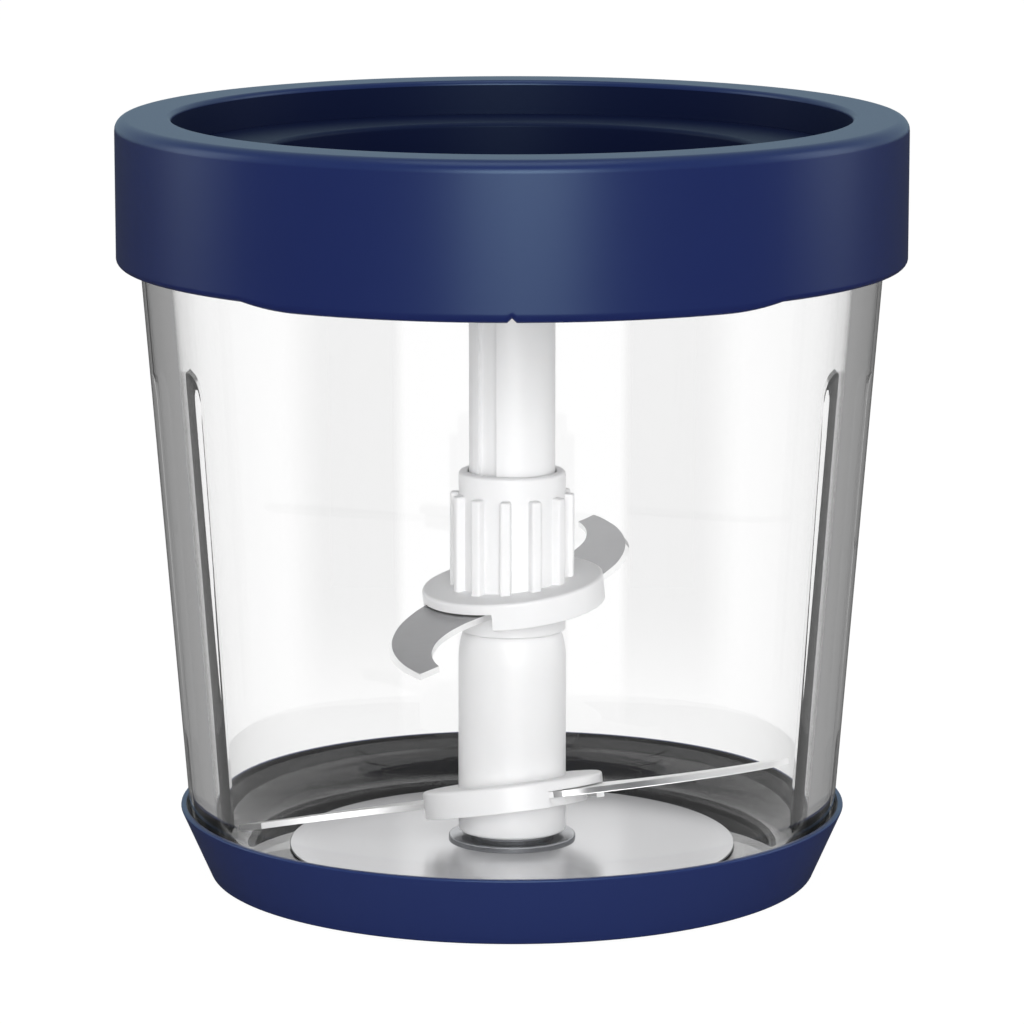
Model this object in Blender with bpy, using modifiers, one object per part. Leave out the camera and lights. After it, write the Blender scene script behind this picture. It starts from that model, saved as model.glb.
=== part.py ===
# Food chopper: glass bowl in a non-slip dish, recessed collar lid, two tiers of S-shaped blades.
# Sizes are millimetres and degrees here, and become metres where a mesh is made.
import math

import bmesh
import bpy
from mathutils import Matrix, Vector

MM = 0.001

# Clearances
running_gap = 0.3        # between pieces that slide, turn or lift off
seat_gap = 0.05          # between flat faces that rest on each other
seal_gap = 0.15          # between a soft ring and what it wipes
end_gap = 1.0            # beyond a pin's or a screw's end
edge_round = 0.8         # moulded edges with no size of their own
edge_break = 0.5         # turned edges with no size of their own
cutter_reach = 5.0       # how far a cutting shape stands past what it cuts
window_reach = 1.0       # how far a window's cut passes the disc's wall
window_lip = 0.2         # window's top edge into the disc's plate

# Dish under the bowl
foot_drop = 0.3          # how far the rubber ring stands below the dish
dish_floor = 1.3
dish_height = 12.9       # underside to lip
dish_lip_wall = 1.45
dish_lip_round = 2.6     # height of the lip's rounding
dish_flare = 5.4         # lip radius minus bottom radius
grip_ring_radius = 47.5
grip_ring_width = 4.0
grip_ring_groove = 0.5

# Glass bowl
bowl_height = 124.6
bowl_rim_radius = 67.8
bowl_taper = 4.48
bowl_wall_top = 5.4
bowl_wall_low = 4.6
bowl_floor = 3.8
heel_outside = 12.0
heel_inside = 6.5
rim_round = 1.8
bowl_hole_radius = 6.6
bowl_counterbore_radius = 10.5
bowl_counterbore_depth = 1.8
bowl_rib_width = 6.0
bowl_rib_depth_top = 2.8
bowl_rib_depth_low = 2.2
bowl_rib_top = 85.0      # above the bowl's underside
bowl_rib_nose = 4.5
rib_root = 1.4           # how far a rib's solid goes into the glass
bowl_rib_round = 1.2

# Spindle and its fixing
floor_plate_radius = 40.7
floor_plate_thickness = 0.45
floor_plate_dish = 0.1
spindle_radius = 3.9
spindle_flange_radius = 11.6
spindle_flange = 1.1
spindle_height = 56.0    # above its flange
spindle_neck_radius = 5.4
spindle_tip_round = 1.5
flange_edge = 0.3
plate_flat = 2.0         # flat of the floor plate past the flange
screw_shank_radius = 2.0
screw_shank_length = 9.0
screw_head_radius = 8.6
screw_head = 0.7
thread_gap = 0.12
washer_thickness = 0.6
gasket_thickness = 0.5

# Rotor column
thrust_washer = 0.8
thrust_washer_radius = 7.6
column_radius = 9.8
shaft_radius = 7.8
column_top = 31.5        # above the rotor foot, where the shoulder starts
shoulder_rise = 5.8
shoulder_land = 0.5      # flat ring that the upper unit rests on
shaft_rise = 1.65        # shaft's end above the lid well's floor
groove_width = 4.0
groove_depth = 1.3
groove_turn = 234.0
bush_wall = 1.5
bush_length = 9.0
bush_inset = 2.0         # upper bush below the spindle's tip
spindle_fit = 0.2
socket_radius = 5.2
socket_depth = 14.0
socket_insert = 12.5
socket_floor = 1.2
socket_lobe_radius = 3.5
socket_lobe = 0.6
socket_lobes = 6

# Blade carriers, one near the bowl floor and one up the column
disc_radius = 16.5
disc_height = 4.9
disc_plate = 2.1
disc_wall = 1.4
blade_thickness = 1.1
blade_clearance = 0.78   # tips to the bowl's inner ribs
wing_outer_root = 194.5  # turns about the axis from the right side, seen from above
wing_tip = 251.8
wing_heel = 254.0
wing_inner_root = 252.0
wing_tip_cut = 4.6
wing_outer_bow = 6.0
wing_inner_bow = 4.6
blade_edge_bevel = 1.7
window_margin = 4.0
retainer_margin = 1.8    # from the disc's wall to the plate that holds the blade
lower_disc_height = 8.8  # above the rotor foot
lower_tilt_x = 7.1       # left side down
lower_tilt_y = -10.5     # back side down
lower_turn = -72.0       # behind the upper blade
lower_window_extra = 5.5
upper_disc_height = 46.4
upper_tilt_x = 5.8
upper_tilt_y = 4.2
sleeve_height = 66.6     # above the rotor foot, top of the grip sleeve
sleeve_collar = 4.1
sleeve_radius = 9.7
grip_ribs = 12
grip_rib_width = 2.0
grip_rib_radius = 11.3
grip_rib_turn = -96.5
grip_rib_foot = 3.0      # into the disc
grip_rib_root = 0.6      # into the sleeve
grip_rib_round = 0.45
key_ends = 2.0           # bore keys stop short of the sleeve's ends
key_root = 0.4           # bore keys into the sleeve

# Lid
rim_clearance = 0.7      # collar's inside to the bowl's rim
collar_wall = 2.5
collar_top_plate = 2.6
collar_height = 26.2
collar_top_round = 2.2
collar_low_round = 1.3
collar_ring = 10.1       # width of the collar's top
recess_wall = 2.4
recess_depth = 6.3
recess_bevel = 0.6
tab_span = 80.0
tab_drop = 1.1
tab_inset = 0.1
tab_root = 3.0           # tab's overlap with the skirt
notch_size = 0.7
snap_bead = 0.6
deck_flange = 3.0
deck_step = 0.8          # the collar's wall stands this far down beside the ledge
ledge_width = 15.6       # deck between the recess wall and the well
well_wall = 2.3
well_depth = 8.4
deck_round = 1.5
deck_bevel = 0.8
well_floor = 2.2
lid_boss_height = 2.4
lid_boss_wall = 2.6
lid_bush_wall = 1.7
lid_bush_flange = 2.2
lid_bush_flange_height = 0.9
lid_bush_inset = 0.2     # bush's end above the well's underside
seal_height = 1.8
seal_width = 4.2
seal_cup_wall = 1.8
gasket_height = 2.7
gasket_width = 5.0
gasket_inset = 0.6       # from the bowl's outer rim
gasket_bevel = 0.6

# Facets round a full turn
coarse = 20
medium = 28
fine = 44


# Heights that follow from the sizes above
dish_under = foot_drop
bowl_under = dish_under + dish_floor + running_gap
bowl_top = bowl_under + bowl_height
floor_top = bowl_under + bowl_floor
plate_under = floor_top + seat_gap
flange_under = plate_under + floor_plate_thickness + seat_gap
flange_top = flange_under + spindle_flange
washer_under = flange_top + seat_gap
rotor_foot = washer_under + thrust_washer + seat_gap
gasket_under = bowl_top + seat_gap
deck_under = gasket_under + gasket_height + seat_gap
deck_top = deck_under + deck_flange
collar_top = deck_top + seat_gap + recess_depth
collar_under = collar_top - collar_height
well_top = deck_top - well_depth
well_under = well_top - well_floor
slope = math.tan(math.radians(bowl_taper))
spindle_tip = flange_top + spindle_height
shoulder_top = rotor_foot + column_top + shoulder_rise
shaft_top = well_top + shaft_rise
lower_disc = rotor_foot + lower_disc_height
upper_disc = rotor_foot + upper_disc_height
lower_tilt = (lower_tilt_x, lower_tilt_y)
upper_tilt = (upper_tilt_x, upper_tilt_y)

# Radii that follow from the bowl's rim and the spindle
collar_inner = bowl_rim_radius + rim_clearance
collar_radius = collar_inner + collar_wall
recess_radius = collar_radius - collar_ring
well_radius = recess_radius - ledge_width
bush_radius = spindle_radius + spindle_fit + bush_wall
bore_radius = bush_radius + seat_gap


def start_scene():
    for item in list(bpy.data.objects):
        bpy.data.objects.remove(item, do_unlink=True)
    for block in (bpy.data.meshes, bpy.data.curves, bpy.data.materials):
        for item in list(block):
            block.remove(item)
    for item in list(bpy.data.collections):
        bpy.data.collections.remove(item)
    product = bpy.data.collections.new("food_chopper")
    cutters = bpy.data.collections.new("cutters")
    bpy.context.scene.collection.children.link(product)
    bpy.context.scene.collection.children.link(cutters)
    return product, cutters


def linear(channel):
    value = channel / 255.0
    if value <= 0.04045:
        return value / 12.92
    return ((value + 0.055) / 1.055) ** 2.4


def material(name, hex_colour, roughness, metallic=0.0, transmission=0.0):
    shade = bpy.data.materials.new(name)
    shade.use_nodes = True
    surface = shade.node_tree.nodes["Principled BSDF"]
    channels = [linear(int(hex_colour[i:i + 2], 16)) for i in (0, 2, 4)]
    surface.inputs["Base Color"].default_value = (*channels, 1.0)
    surface.inputs["Roughness"].default_value = roughness
    surface.inputs["Metallic"].default_value = metallic
    surface.inputs["Transmission Weight"].default_value = transmission
    shade.diffuse_color = (*channels, 1.0)
    return shade


def new_object(name, mesh, home):
    item = bpy.data.objects.new(name, mesh)
    home.objects.link(item)
    if home.name == "cutters":
        item.hide_render = True
        item.display_type = 'WIRE'
    return item


def arc(centre_r, centre_z, radius, start, end, count):
    points = []
    for i in range(count + 1):
        angle = math.radians(start + (end - start) * i / count)
        points.append((centre_r + radius * math.cos(angle), centre_z + radius * math.sin(angle)))
    return points


def dome(inner, outer, top, drop, count):
    # A quarter of an ellipse from a flat ring down to a straight side
    points = []
    for i in range(count + 1):
        angle = math.radians(90.0 * i / count)
        points.append((inner + (outer - inner) * math.sin(angle), top - drop * (1.0 - math.cos(angle))))
    return points


def turned(name, outline, home, steps=medium, closed=True):
    # An outline runs down the outer side first, then up the bore, or ends on the axis
    mesh = bpy.data.meshes.new(name)
    points = [(r * MM, 0.0, z * MM) for r, z in outline]
    edges = [(i, i + 1) for i in range(len(points) - 1)]
    if closed:
        edges.append((len(points) - 1, 0))
    mesh.from_pydata(points, edges, [])
    item = new_object(name, mesh, home)
    screw = item.modifiers.new("turn", 'SCREW')
    screw.steps = round(steps)
    screw.render_steps = round(steps)
    screw.use_merge_vertices = True
    screw.merge_threshold = 0.00001
    return item


def ring(name, inner, outer, low, high, home, steps=medium):
    outline = [(outer, high), (outer, low), (inner, low), (inner, high)]
    return turned(name, outline, home, steps)


def bar(name, radius, low, high, home, steps=medium):
    outline = [(0.0, high), (radius, high), (radius, low), (0.0, low)]
    return turned(name, outline, home, steps, closed=False)


def prism(name, outline, low, high, home):
    # A flat outline in x and y, lifted from one height to another
    mesh = bpy.data.meshes.new(name)
    shape = bmesh.new()
    corners = [shape.verts.new((x * MM, y * MM, low * MM)) for x, y in outline]
    face = shape.faces.new(corners)
    lifted = bmesh.ops.extrude_face_region(shape, geom=[face])
    moved = [part for part in lifted["geom"] if isinstance(part, bmesh.types.BMVert)]
    bmesh.ops.translate(shape, verts=moved, vec=(0.0, 0.0, (high - low) * MM))
    bmesh.ops.recalc_face_normals(shape, faces=shape.faces)
    shape.to_mesh(mesh)
    shape.free()
    return new_object(name, mesh, home)


def sector(name, inner, outer, start, end, low, high, home):
    count = max(2, int(abs(end - start) / 6.0))
    outline = arc(0.0, 0.0, outer, start, end, count)
    outline += arc(0.0, 0.0, inner, end, start, count)
    return prism(name, outline, low, high, home)


def boxes(name, places, size, home, bevel=0.0, roll=0.0):
    # One box at each place, which is a radius, a height and a turn about the axis
    mesh = bpy.data.meshes.new(name)
    shape = bmesh.new()
    for radius, height, turn in places:
        spin = Matrix.Rotation(math.radians(turn), 4, 'Z')
        move = Matrix.Translation((radius * MM, 0.0, height * MM))
        scale = Matrix.Diagonal((size[0] * MM, size[1] * MM, size[2] * MM, 1.0))
        twist = Matrix.Rotation(math.radians(roll), 4, 'X')
        bmesh.ops.create_cube(shape, size=1.0, matrix=spin @ move @ twist @ scale)
    if bevel:
        bmesh.ops.bevel(shape, geom=list(shape.edges), offset=bevel * MM, segments=2,
                        profile=0.5, affect='EDGES')
    shape.to_mesh(mesh)
    shape.free()
    return new_object(name, mesh, home)


def combine(item, tool, operation):
    step = item.modifiers.new(operation.lower(), 'BOOLEAN')
    step.operation = operation
    step.solver = 'EXACT'
    step.object = tool
    return item


def hang(item, height, parent):
    # Heights are above the table, whatever the parent's own height is
    if parent:
        item.parent = parent
        height -= parent["height"]
    item.location = (0.0, 0.0, height * MM)


def place(item, height, parent=None, tilt=(0.0, 0.0), turn=0.0):
    # Tilt is the rise toward +X and toward +Y, in degrees
    rise_x = math.tan(math.radians(tilt[0]))
    rise_y = math.tan(math.radians(tilt[1]))
    normal = Vector((-rise_x, -rise_y, 1.0)).normalized()
    lean = Vector((0.0, 0.0, 1.0)).rotation_difference(normal)
    spin = Matrix.Rotation(math.radians(turn), 4, 'Z').to_quaternion()
    item.rotation_mode = 'QUATERNION'
    item.rotation_quaternion = lean @ spin
    hang(item, height, parent)
    return item


def axis_empty(name, height, home, parent=None):
    empty = bpy.data.objects.new(name, None)
    empty.empty_display_size = 0.02
    home.objects.link(empty)
    empty["height"] = height
    hang(empty, height, parent)
    return empty


def finish(item, shade):
    # Evaluates the modelling steps into one mesh and shades its round faces smooth
    bpy.context.view_layer.update()
    graph = bpy.context.evaluated_depsgraph_get()
    mesh = bpy.data.meshes.new_from_object(item.evaluated_get(graph))
    mesh.name = item.name
    item.modifiers.clear()
    item.data = mesh
    mesh.materials.clear()
    mesh.materials.append(shade)
    mesh.shade_smooth()
    mesh.set_sharp_from_angle(angle=math.radians(35))
    return item


# Bowl walls

def outside_radius(height):
    return bowl_rim_radius - (bowl_top - height) * slope


def wall_at(height):
    share = (height - bowl_under) / bowl_height
    return bowl_wall_low + (bowl_wall_top - bowl_wall_low) * share


def inside_radius(height):
    return outside_radius(height) - wall_at(height)


def blade_reach():
    # How far the blades' tips stand from the axis, just above the bowl's heel
    return inside_radius(floor_top + heel_inside) - bowl_rib_depth_low - blade_clearance


def heel_centre(radius_at, radius, low):
    height = low + radius
    return radius_at(height) - radius / math.cos(math.radians(bowl_taper)), height


def heel_angle(offset, height):
    # Angle on the heel's arc at a height, no further up than where the straight side starts
    centre_z = heel_centre(outside_radius, heel_outside, bowl_under)[1]
    share = (centre_z - height) / (heel_outside + offset)
    return min(-bowl_taper, -math.degrees(math.asin(max(0.0, min(1.0, share)))))


def bowl_outside(offset, top):
    # The bowl's outer side from a height down to its underside, moved out by an offset
    centre_r, centre_z = heel_centre(outside_radius, heel_outside, bowl_under)
    start = heel_angle(offset, top)
    points = arc(centre_r, centre_z, heel_outside + offset, start, -90.0, 5)
    if start == -bowl_taper:
        points.insert(0, (outside_radius(top) + offset, top))
    return points


# Dish and its rubber ring

def build_base(home, cutters, shades, axis):
    lip_top = dish_under + dish_height
    lip_inner = bowl_outside(running_gap, lip_top)[0][0]
    lip_outer = lip_inner + dish_lip_wall
    low_radius = lip_outer - dish_flare
    groove_out = grip_ring_radius + grip_ring_width / 2.0
    groove_in = grip_ring_radius - grip_ring_width / 2.0
    groove_top = dish_under + grip_ring_groove
    outline = [(0.0, dish_under + dish_floor)]
    outline += list(reversed(bowl_outside(running_gap, lip_top - 0.3)))
    outline += dome(lip_inner + 0.3, lip_outer, lip_top, dish_lip_round, 4)
    outline += arc(low_radius - edge_round, dish_under + edge_round, edge_round, -30.0, -90.0, 2)
    outline += [(groove_out, dish_under), (groove_out, groove_top)]
    outline += [(groove_in, groove_top), (groove_in, dish_under), (0.0, dish_under)]
    dish = turned("base_dish", outline, home, fine, closed=False)
    finish(place(dish, 0.0, axis), shades["navy"])

    width = grip_ring_width - 2.0 * seat_gap
    half = width / 2.0
    top = dish_under + grip_ring_groove - seat_gap
    outline = [(grip_ring_radius - half, top), (grip_ring_radius + half, top)]
    outline += [(grip_ring_radius + half, foot_drop), (grip_ring_radius + half - foot_drop, 0.0)]
    outline += [(grip_ring_radius - half + foot_drop, 0.0), (grip_ring_radius - half, foot_drop)]
    ring = turned("grip_ring", outline, home, fine)
    finish(place(ring, 0.0, axis), shades["rubber"])


# Glass bowl with its two inner ribs

def rib_outline():
    top = bowl_under + bowl_rib_top
    low = floor_top - rib_root
    inner_low = inside_radius(floor_top + heel_inside) - bowl_rib_depth_low
    inner_top = inside_radius(top) - bowl_rib_depth_top
    nose = inside_radius(top + bowl_rib_nose)
    points = [(inner_low, low), (inner_top, top)]
    points += [(inner_top + (nose - inner_top) * 0.35, top + bowl_rib_nose * 0.7)]
    points += [(nose + rib_root, top + bowl_rib_nose + rib_root), (inside_radius(low) + rib_root, low)]
    return points


def build_rib(name, turn, cutters):
    rib = prism(name, rib_outline(), -bowl_rib_width / 2.0, bowl_rib_width / 2.0, cutters)
    for corner in rib.data.vertices:
        r, z, side = corner.co
        corner.co = (r, -side, z)
    rib.rotation_euler.z = math.radians(turn)
    bevel = rib.modifiers.new("round", 'BEVEL')
    bevel.width = bowl_rib_round * MM
    bevel.segments = 3
    bevel.limit_method = 'ANGLE'
    return rib


def build_bowl(home, cutters, shades, axis):
    shoulder = bowl_top - rim_round
    outline = arc(outside_radius(shoulder) - rim_round, shoulder, rim_round, 90.0, 0.0, 2)
    outline += bowl_outside(0.0, shoulder)[1:]
    outline += [(bowl_counterbore_radius, bowl_under)]
    outline += [(bowl_counterbore_radius, bowl_under + bowl_counterbore_depth)]
    outline += [(bowl_hole_radius, bowl_under + bowl_counterbore_depth), (bowl_hole_radius, floor_top)]
    centre_r, centre_z = heel_centre(inside_radius, heel_inside, floor_top)
    outline += arc(centre_r, centre_z, heel_inside, -90.0, -bowl_taper, 4)
    outline += arc(inside_radius(shoulder) + rim_round, shoulder, rim_round, 180.0, 90.0, 2)
    bowl = turned("glass_bowl", outline, home, fine)
    combine(bowl, build_rib("rib_right", 0.0, cutters), 'UNION')
    combine(bowl, build_rib("rib_left", 180.0, cutters), 'UNION')
    finish(place(bowl, 0.0, axis), shades["glass"])


# Spindle, floor plate and what fixes them through the glass

def build_spindle(home, shades, axis):
    flat = spindle_flange_radius + plate_flat
    plate_hole = spindle_neck_radius + running_gap
    edge = plate_under + floor_plate_dish
    outline = [(floor_plate_radius, edge + floor_plate_thickness), (floor_plate_radius, edge)]
    outline += [(flat, plate_under), (plate_hole, plate_under)]
    outline += [(plate_hole, plate_under + floor_plate_thickness)]
    outline += [(flat, plate_under + floor_plate_thickness)]
    plate = turned("floor_plate", outline, home, fine)
    finish(place(plate, 0.0, axis), shades["polished"])

    recess = bowl_under + bowl_counterbore_depth
    bore = screw_shank_radius + thread_gap
    tip = flange_top + spindle_height
    outline = [(0.0, tip)] + arc(spindle_radius - spindle_tip_round, tip - spindle_tip_round,
                                     spindle_tip_round, 90.0, 0.0, 3)
    outline += [(spindle_radius, flange_top), (spindle_flange_radius - flange_edge, flange_top)]
    outline += [(spindle_flange_radius, flange_top - flange_edge), (spindle_flange_radius, flange_under)]
    outline += [(spindle_neck_radius, flange_under), (spindle_neck_radius, recess + seat_gap)]
    outline += [(bore, recess + seat_gap), (bore, recess + screw_shank_length + end_gap)]
    outline += [(0.0, recess + screw_shank_length + end_gap)]
    spindle = turned("spindle", outline, home, medium, closed=False)
    finish(place(spindle, 0.0, axis), shades["steel"])

    grommet = ring("spindle_grommet", spindle_neck_radius + seal_gap, bowl_hole_radius - seal_gap,
                   recess + seat_gap, floor_top - seat_gap, home, coarse)
    finish(place(grommet, 0.0, axis), shades["silicone"])

    gasket_top = recess - seat_gap
    hole = screw_shank_radius + running_gap
    gasket = ring("under_gasket", hole, screw_head_radius, gasket_top - gasket_thickness, gasket_top,
                  home, coarse)
    finish(place(gasket, 0.0, axis), shades["silicone"])

    washer_top = gasket_top - gasket_thickness - seat_gap
    washer = ring("under_washer", hole, screw_head_radius, washer_top - washer_thickness, washer_top,
                  home, coarse)
    finish(place(washer, 0.0, axis), shades["steel"])

    head_top = washer_top - washer_thickness - seat_gap
    outline = [(0.0, recess + screw_shank_length), (screw_shank_radius, recess + screw_shank_length)]
    outline += [(screw_shank_radius, head_top), (screw_head_radius, head_top)]
    outline += [(screw_head_radius - edge_break, head_top - screw_head), (0.0, head_top - screw_head)]
    screw = turned("spindle_screw", outline, home, coarse, closed=False)
    finish(place(screw, 0.0, axis), shades["steel"])


# S-shaped blade and the disc that carries it

def polar(radius, turn):
    angle = math.radians(turn)
    return radius * math.cos(angle), radius * math.sin(angle)


def bowed(start, end, bow, count):
    # An arc between two points that bulges to the right of its way by the bow
    across = math.dist(start, end)
    if abs(bow) < 0.01:
        bow = 0.01
    radius = (across * across / 4.0 + bow * bow) / (2.0 * bow)
    way = ((end[0] - start[0]) / across, (end[1] - start[1]) / across)
    right = (way[1], -way[0])
    points = []
    for i in range(count + 1):
        along = across * (i / count - 0.5)
        rise = math.copysign(math.sqrt(radius * radius - along * along), radius) - (radius - bow)
        x = (start[0] + end[0]) / 2.0 + way[0] * along + right[0] * rise
        y = (start[1] + end[1]) / 2.0 + way[1] * along + right[1] * rise
        points.append((x, y))
    return points


def blade_outline(bevel):
    middle = disc_radius - disc_wall - running_gap
    outline = []
    for half_turn in (0.0, 180.0):
        outer_root = polar(disc_radius, wing_outer_root + half_turn)
        tip = polar(blade_reach(), wing_tip + half_turn)
        heel = polar(blade_reach() - wing_tip_cut, wing_heel + half_turn)
        inner_root = polar(disc_radius - 1.0, wing_inner_root + half_turn)
        outline += bowed(outer_root, tip, wing_outer_bow - bevel, 10)
        outline += bowed(heel, inner_root, -wing_inner_bow, 8)
        outline += arc(0.0, 0.0, middle, wing_inner_root + half_turn + 3.0,
                       wing_outer_root + half_turn + 177.0, 6)
    return outline


def blade_solid(name, home):
    mesh = bpy.data.meshes.new(name)
    shape = bmesh.new()
    low = [shape.verts.new((x * MM, y * MM, 0.0)) for x, y in blade_outline(0.0)]
    high = [shape.verts.new((x * MM, y * MM, blade_thickness * MM)) for x, y in
            blade_outline(blade_edge_bevel)]
    for i in range(len(low)):
        j = (i + 1) % len(low)
        shape.faces.new((low[i], low[j], high[j], high[i]))
    shape.faces.new(list(reversed(low)))
    shape.faces.new(high)
    bmesh.ops.recalc_face_normals(shape, faces=shape.faces)
    shape.to_mesh(mesh)
    shape.free()
    return new_object(name, mesh, home)


def carrier_cup(name, inner, cutters, height, tilt, turn):
    inside = disc_radius - disc_wall
    outline = [(disc_radius - edge_break, 0.0), (disc_radius, -edge_break), (disc_radius, -disc_height)]
    outline += [(inside, -disc_height), (inside, -disc_plate), (inner, -disc_plate), (inner, 0.0)]
    cup = turned(name, outline, cutters, medium)
    return place(cup, height, tilt=tilt, turn=turn)


def cut_windows(item, prefix, cutters, height, tilt, turn, extra):
    for side, half_turn in (("front", 0.0), ("back", 180.0)):
        start = wing_outer_root + half_turn - window_margin - extra
        end = wing_inner_root + half_turn + window_margin
        window = sector(prefix + "_window_" + side, disc_radius - disc_wall - window_reach,
                        disc_radius + window_reach,
                        start, end, -disc_height - window_reach, -disc_plate + window_lip, cutters)
        place(window, height, tilt=tilt, turn=turn)
        combine(item, window, 'DIFFERENCE')


def build_blade_stack(prefix, core_radius, height, tilt, turn, home, cutters, shades, axis):
    # The blade lies under the disc's plate and a round plate holds it from below
    hole = bar(prefix + "_hole", core_radius + running_gap, height - disc_radius, height + disc_radius,
               cutters)
    blade = blade_solid(prefix + "_blade", home)
    drop = disc_plate + seat_gap + blade_thickness
    for corner in blade.data.vertices:
        corner.co.z -= drop * MM
    place(blade, height, axis, tilt, turn)
    combine(blade, hole, 'DIFFERENCE')
    finish(blade, shades["blade"])
    plate_radius = disc_radius - disc_wall - retainer_margin
    retainer = turned(prefix + "_blade_plate",
                      [(0.0, -drop - seat_gap), (plate_radius, -drop - seat_gap),
                       (plate_radius, -disc_height), (0.0, -disc_height)],
                      home, medium, closed=False)
    place(retainer, height, axis, tilt, turn)
    combine(retainer, hole, 'DIFFERENCE')
    finish(retainer, shades["white"])


# Lower rotor: column, tilted disc, grooved shaft, bushes, drive socket

def build_lower_rotor(home, cutters, shades, axis):
    top = shaft_top
    bore_top = spindle_tip + end_gap
    land = shaft_radius + shoulder_land
    outline = [(0.0, top - socket_depth), (socket_radius, top - socket_depth), (socket_radius, top)]
    outline += [(shaft_radius - edge_break, top), (shaft_radius, top - edge_break)]
    outline += [(shaft_radius, shoulder_top)]
    outline += dome(land, column_radius, shoulder_top, shoulder_rise, 4)
    outline += [(column_radius, rotor_foot + edge_break), (column_radius - edge_break, rotor_foot)]
    outline += [(bore_radius, rotor_foot), (bore_radius, bore_top), (0.0, bore_top)]
    hub = turned("lower_hub", outline, home, medium, closed=False)
    cup = carrier_cup("lower_cup", column_radius - disc_wall, cutters, lower_disc, lower_tilt, lower_turn)
    combine(hub, cup, 'UNION')
    cut_windows(hub, "lower", cutters, lower_disc, lower_tilt, lower_turn, lower_window_extra)
    length = top + 1.0 - shoulder_top
    places = [(shaft_radius, shoulder_top + length / 2.0, groove_turn + side) for side in (0.0, 180.0)]
    grooves = boxes("shaft_grooves", places, (2.0 * groove_depth, groove_width, length), cutters)
    combine(hub, grooves, 'DIFFERENCE')
    finish(place(hub, 0.0, axis), shades["white"])

    inner = spindle_radius + spindle_fit
    low = rotor_foot + seat_gap
    bush = ring("hub_bush_lower", inner, bush_radius, low, low + bush_length, home, coarse)
    finish(place(bush, 0.0, axis), shades["bronze"])
    high = spindle_tip - bush_inset
    bush = ring("hub_bush_upper", inner, bush_radius, high - bush_length, high, home, coarse)
    finish(place(bush, 0.0, axis), shades["bronze"])

    floor = top - socket_depth + seat_gap
    insert = bar("drive_socket", socket_radius - seat_gap, floor, floor + socket_insert, home, coarse)
    star = []
    for i in range(socket_lobes * 6):
        turn = 2.0 * math.pi * i / (socket_lobes * 6)
        reach = socket_lobe_radius + socket_lobe * math.cos(socket_lobes * turn)
        star.append((reach * math.cos(turn), reach * math.sin(turn)))
    pit = prism("socket_pit", star, floor + socket_floor, floor + socket_insert + cutter_reach, cutters)
    combine(insert, pit, 'DIFFERENCE')
    finish(place(insert, 0.0, axis), shades["steel"])

    build_blade_stack("lower", column_radius, lower_disc, lower_tilt, lower_turn, home, cutters,
                      shades, axis)


def build_thrust_washer(home, shades, axis):
    washer = ring("thrust_washer", spindle_radius + running_gap, thrust_washer_radius, washer_under,
                  washer_under + thrust_washer, home, coarse)
    finish(place(washer, 0.0, axis), shades["bronze"])


# Upper rotor: ribbed grip sleeve with its own tilted disc

def build_upper_rotor(home, cutters, shades, axis):
    low = shoulder_top + seat_gap
    top = rotor_foot + sleeve_height
    bore = shaft_radius + running_gap
    outline = [(sleeve_radius - edge_break, top), (sleeve_radius, top - edge_break)]
    outline += [(sleeve_radius, low)]
    outline += [(bore, low), (bore, top)]
    hub = turned("upper_hub", outline, home, medium)
    cup = carrier_cup("upper_cup", (bore + sleeve_radius) / 2.0, cutters, upper_disc, upper_tilt, 0.0)
    combine(hub, cup, 'UNION')
    cut_windows(hub, "upper", cutters, upper_disc, upper_tilt, 0.0, 0.0)

    rib_low = upper_disc - grip_rib_foot
    rib_high = top - sleeve_collar
    inner = sleeve_radius - grip_rib_root
    middle = (inner + grip_rib_radius) / 2.0
    step = 360.0 / grip_ribs
    places = [(middle, (rib_low + rib_high) / 2.0, grip_rib_turn + i * step) for i in range(grip_ribs)]
    size = (grip_rib_radius - inner, grip_rib_width, rib_high - rib_low)
    ribs = boxes("grip_ribs", places, size, cutters, bevel=grip_rib_round)
    under = bar("under_disc", disc_radius + cutter_reach, -disc_height - cutter_reach, -disc_plate / 2.0,
                cutters)
    place(under, upper_disc, tilt=upper_tilt)
    combine(ribs, under, 'DIFFERENCE')
    combine(hub, ribs, 'UNION')

    key_inner = shaft_radius - groove_depth + running_gap
    key_outer = bore + key_root
    key_middle = (key_inner + key_outer) / 2.0
    places = [(key_middle, (low + top) / 2.0, groove_turn + side) for side in (0.0, 180.0)]
    size = (key_outer - key_inner, groove_width - 2.0 * running_gap, top - low - 2.0 * key_ends)
    combine(hub, boxes("bore_keys", places, size, cutters), 'UNION')
    finish(place(hub, 0.0, axis), shades["white"])

    build_blade_stack("upper", sleeve_radius, upper_disc, upper_tilt, 0.0, home, cutters, shades, axis)


# Lid: collar, recessed deck, gasket, bush and shaft seal

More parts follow.
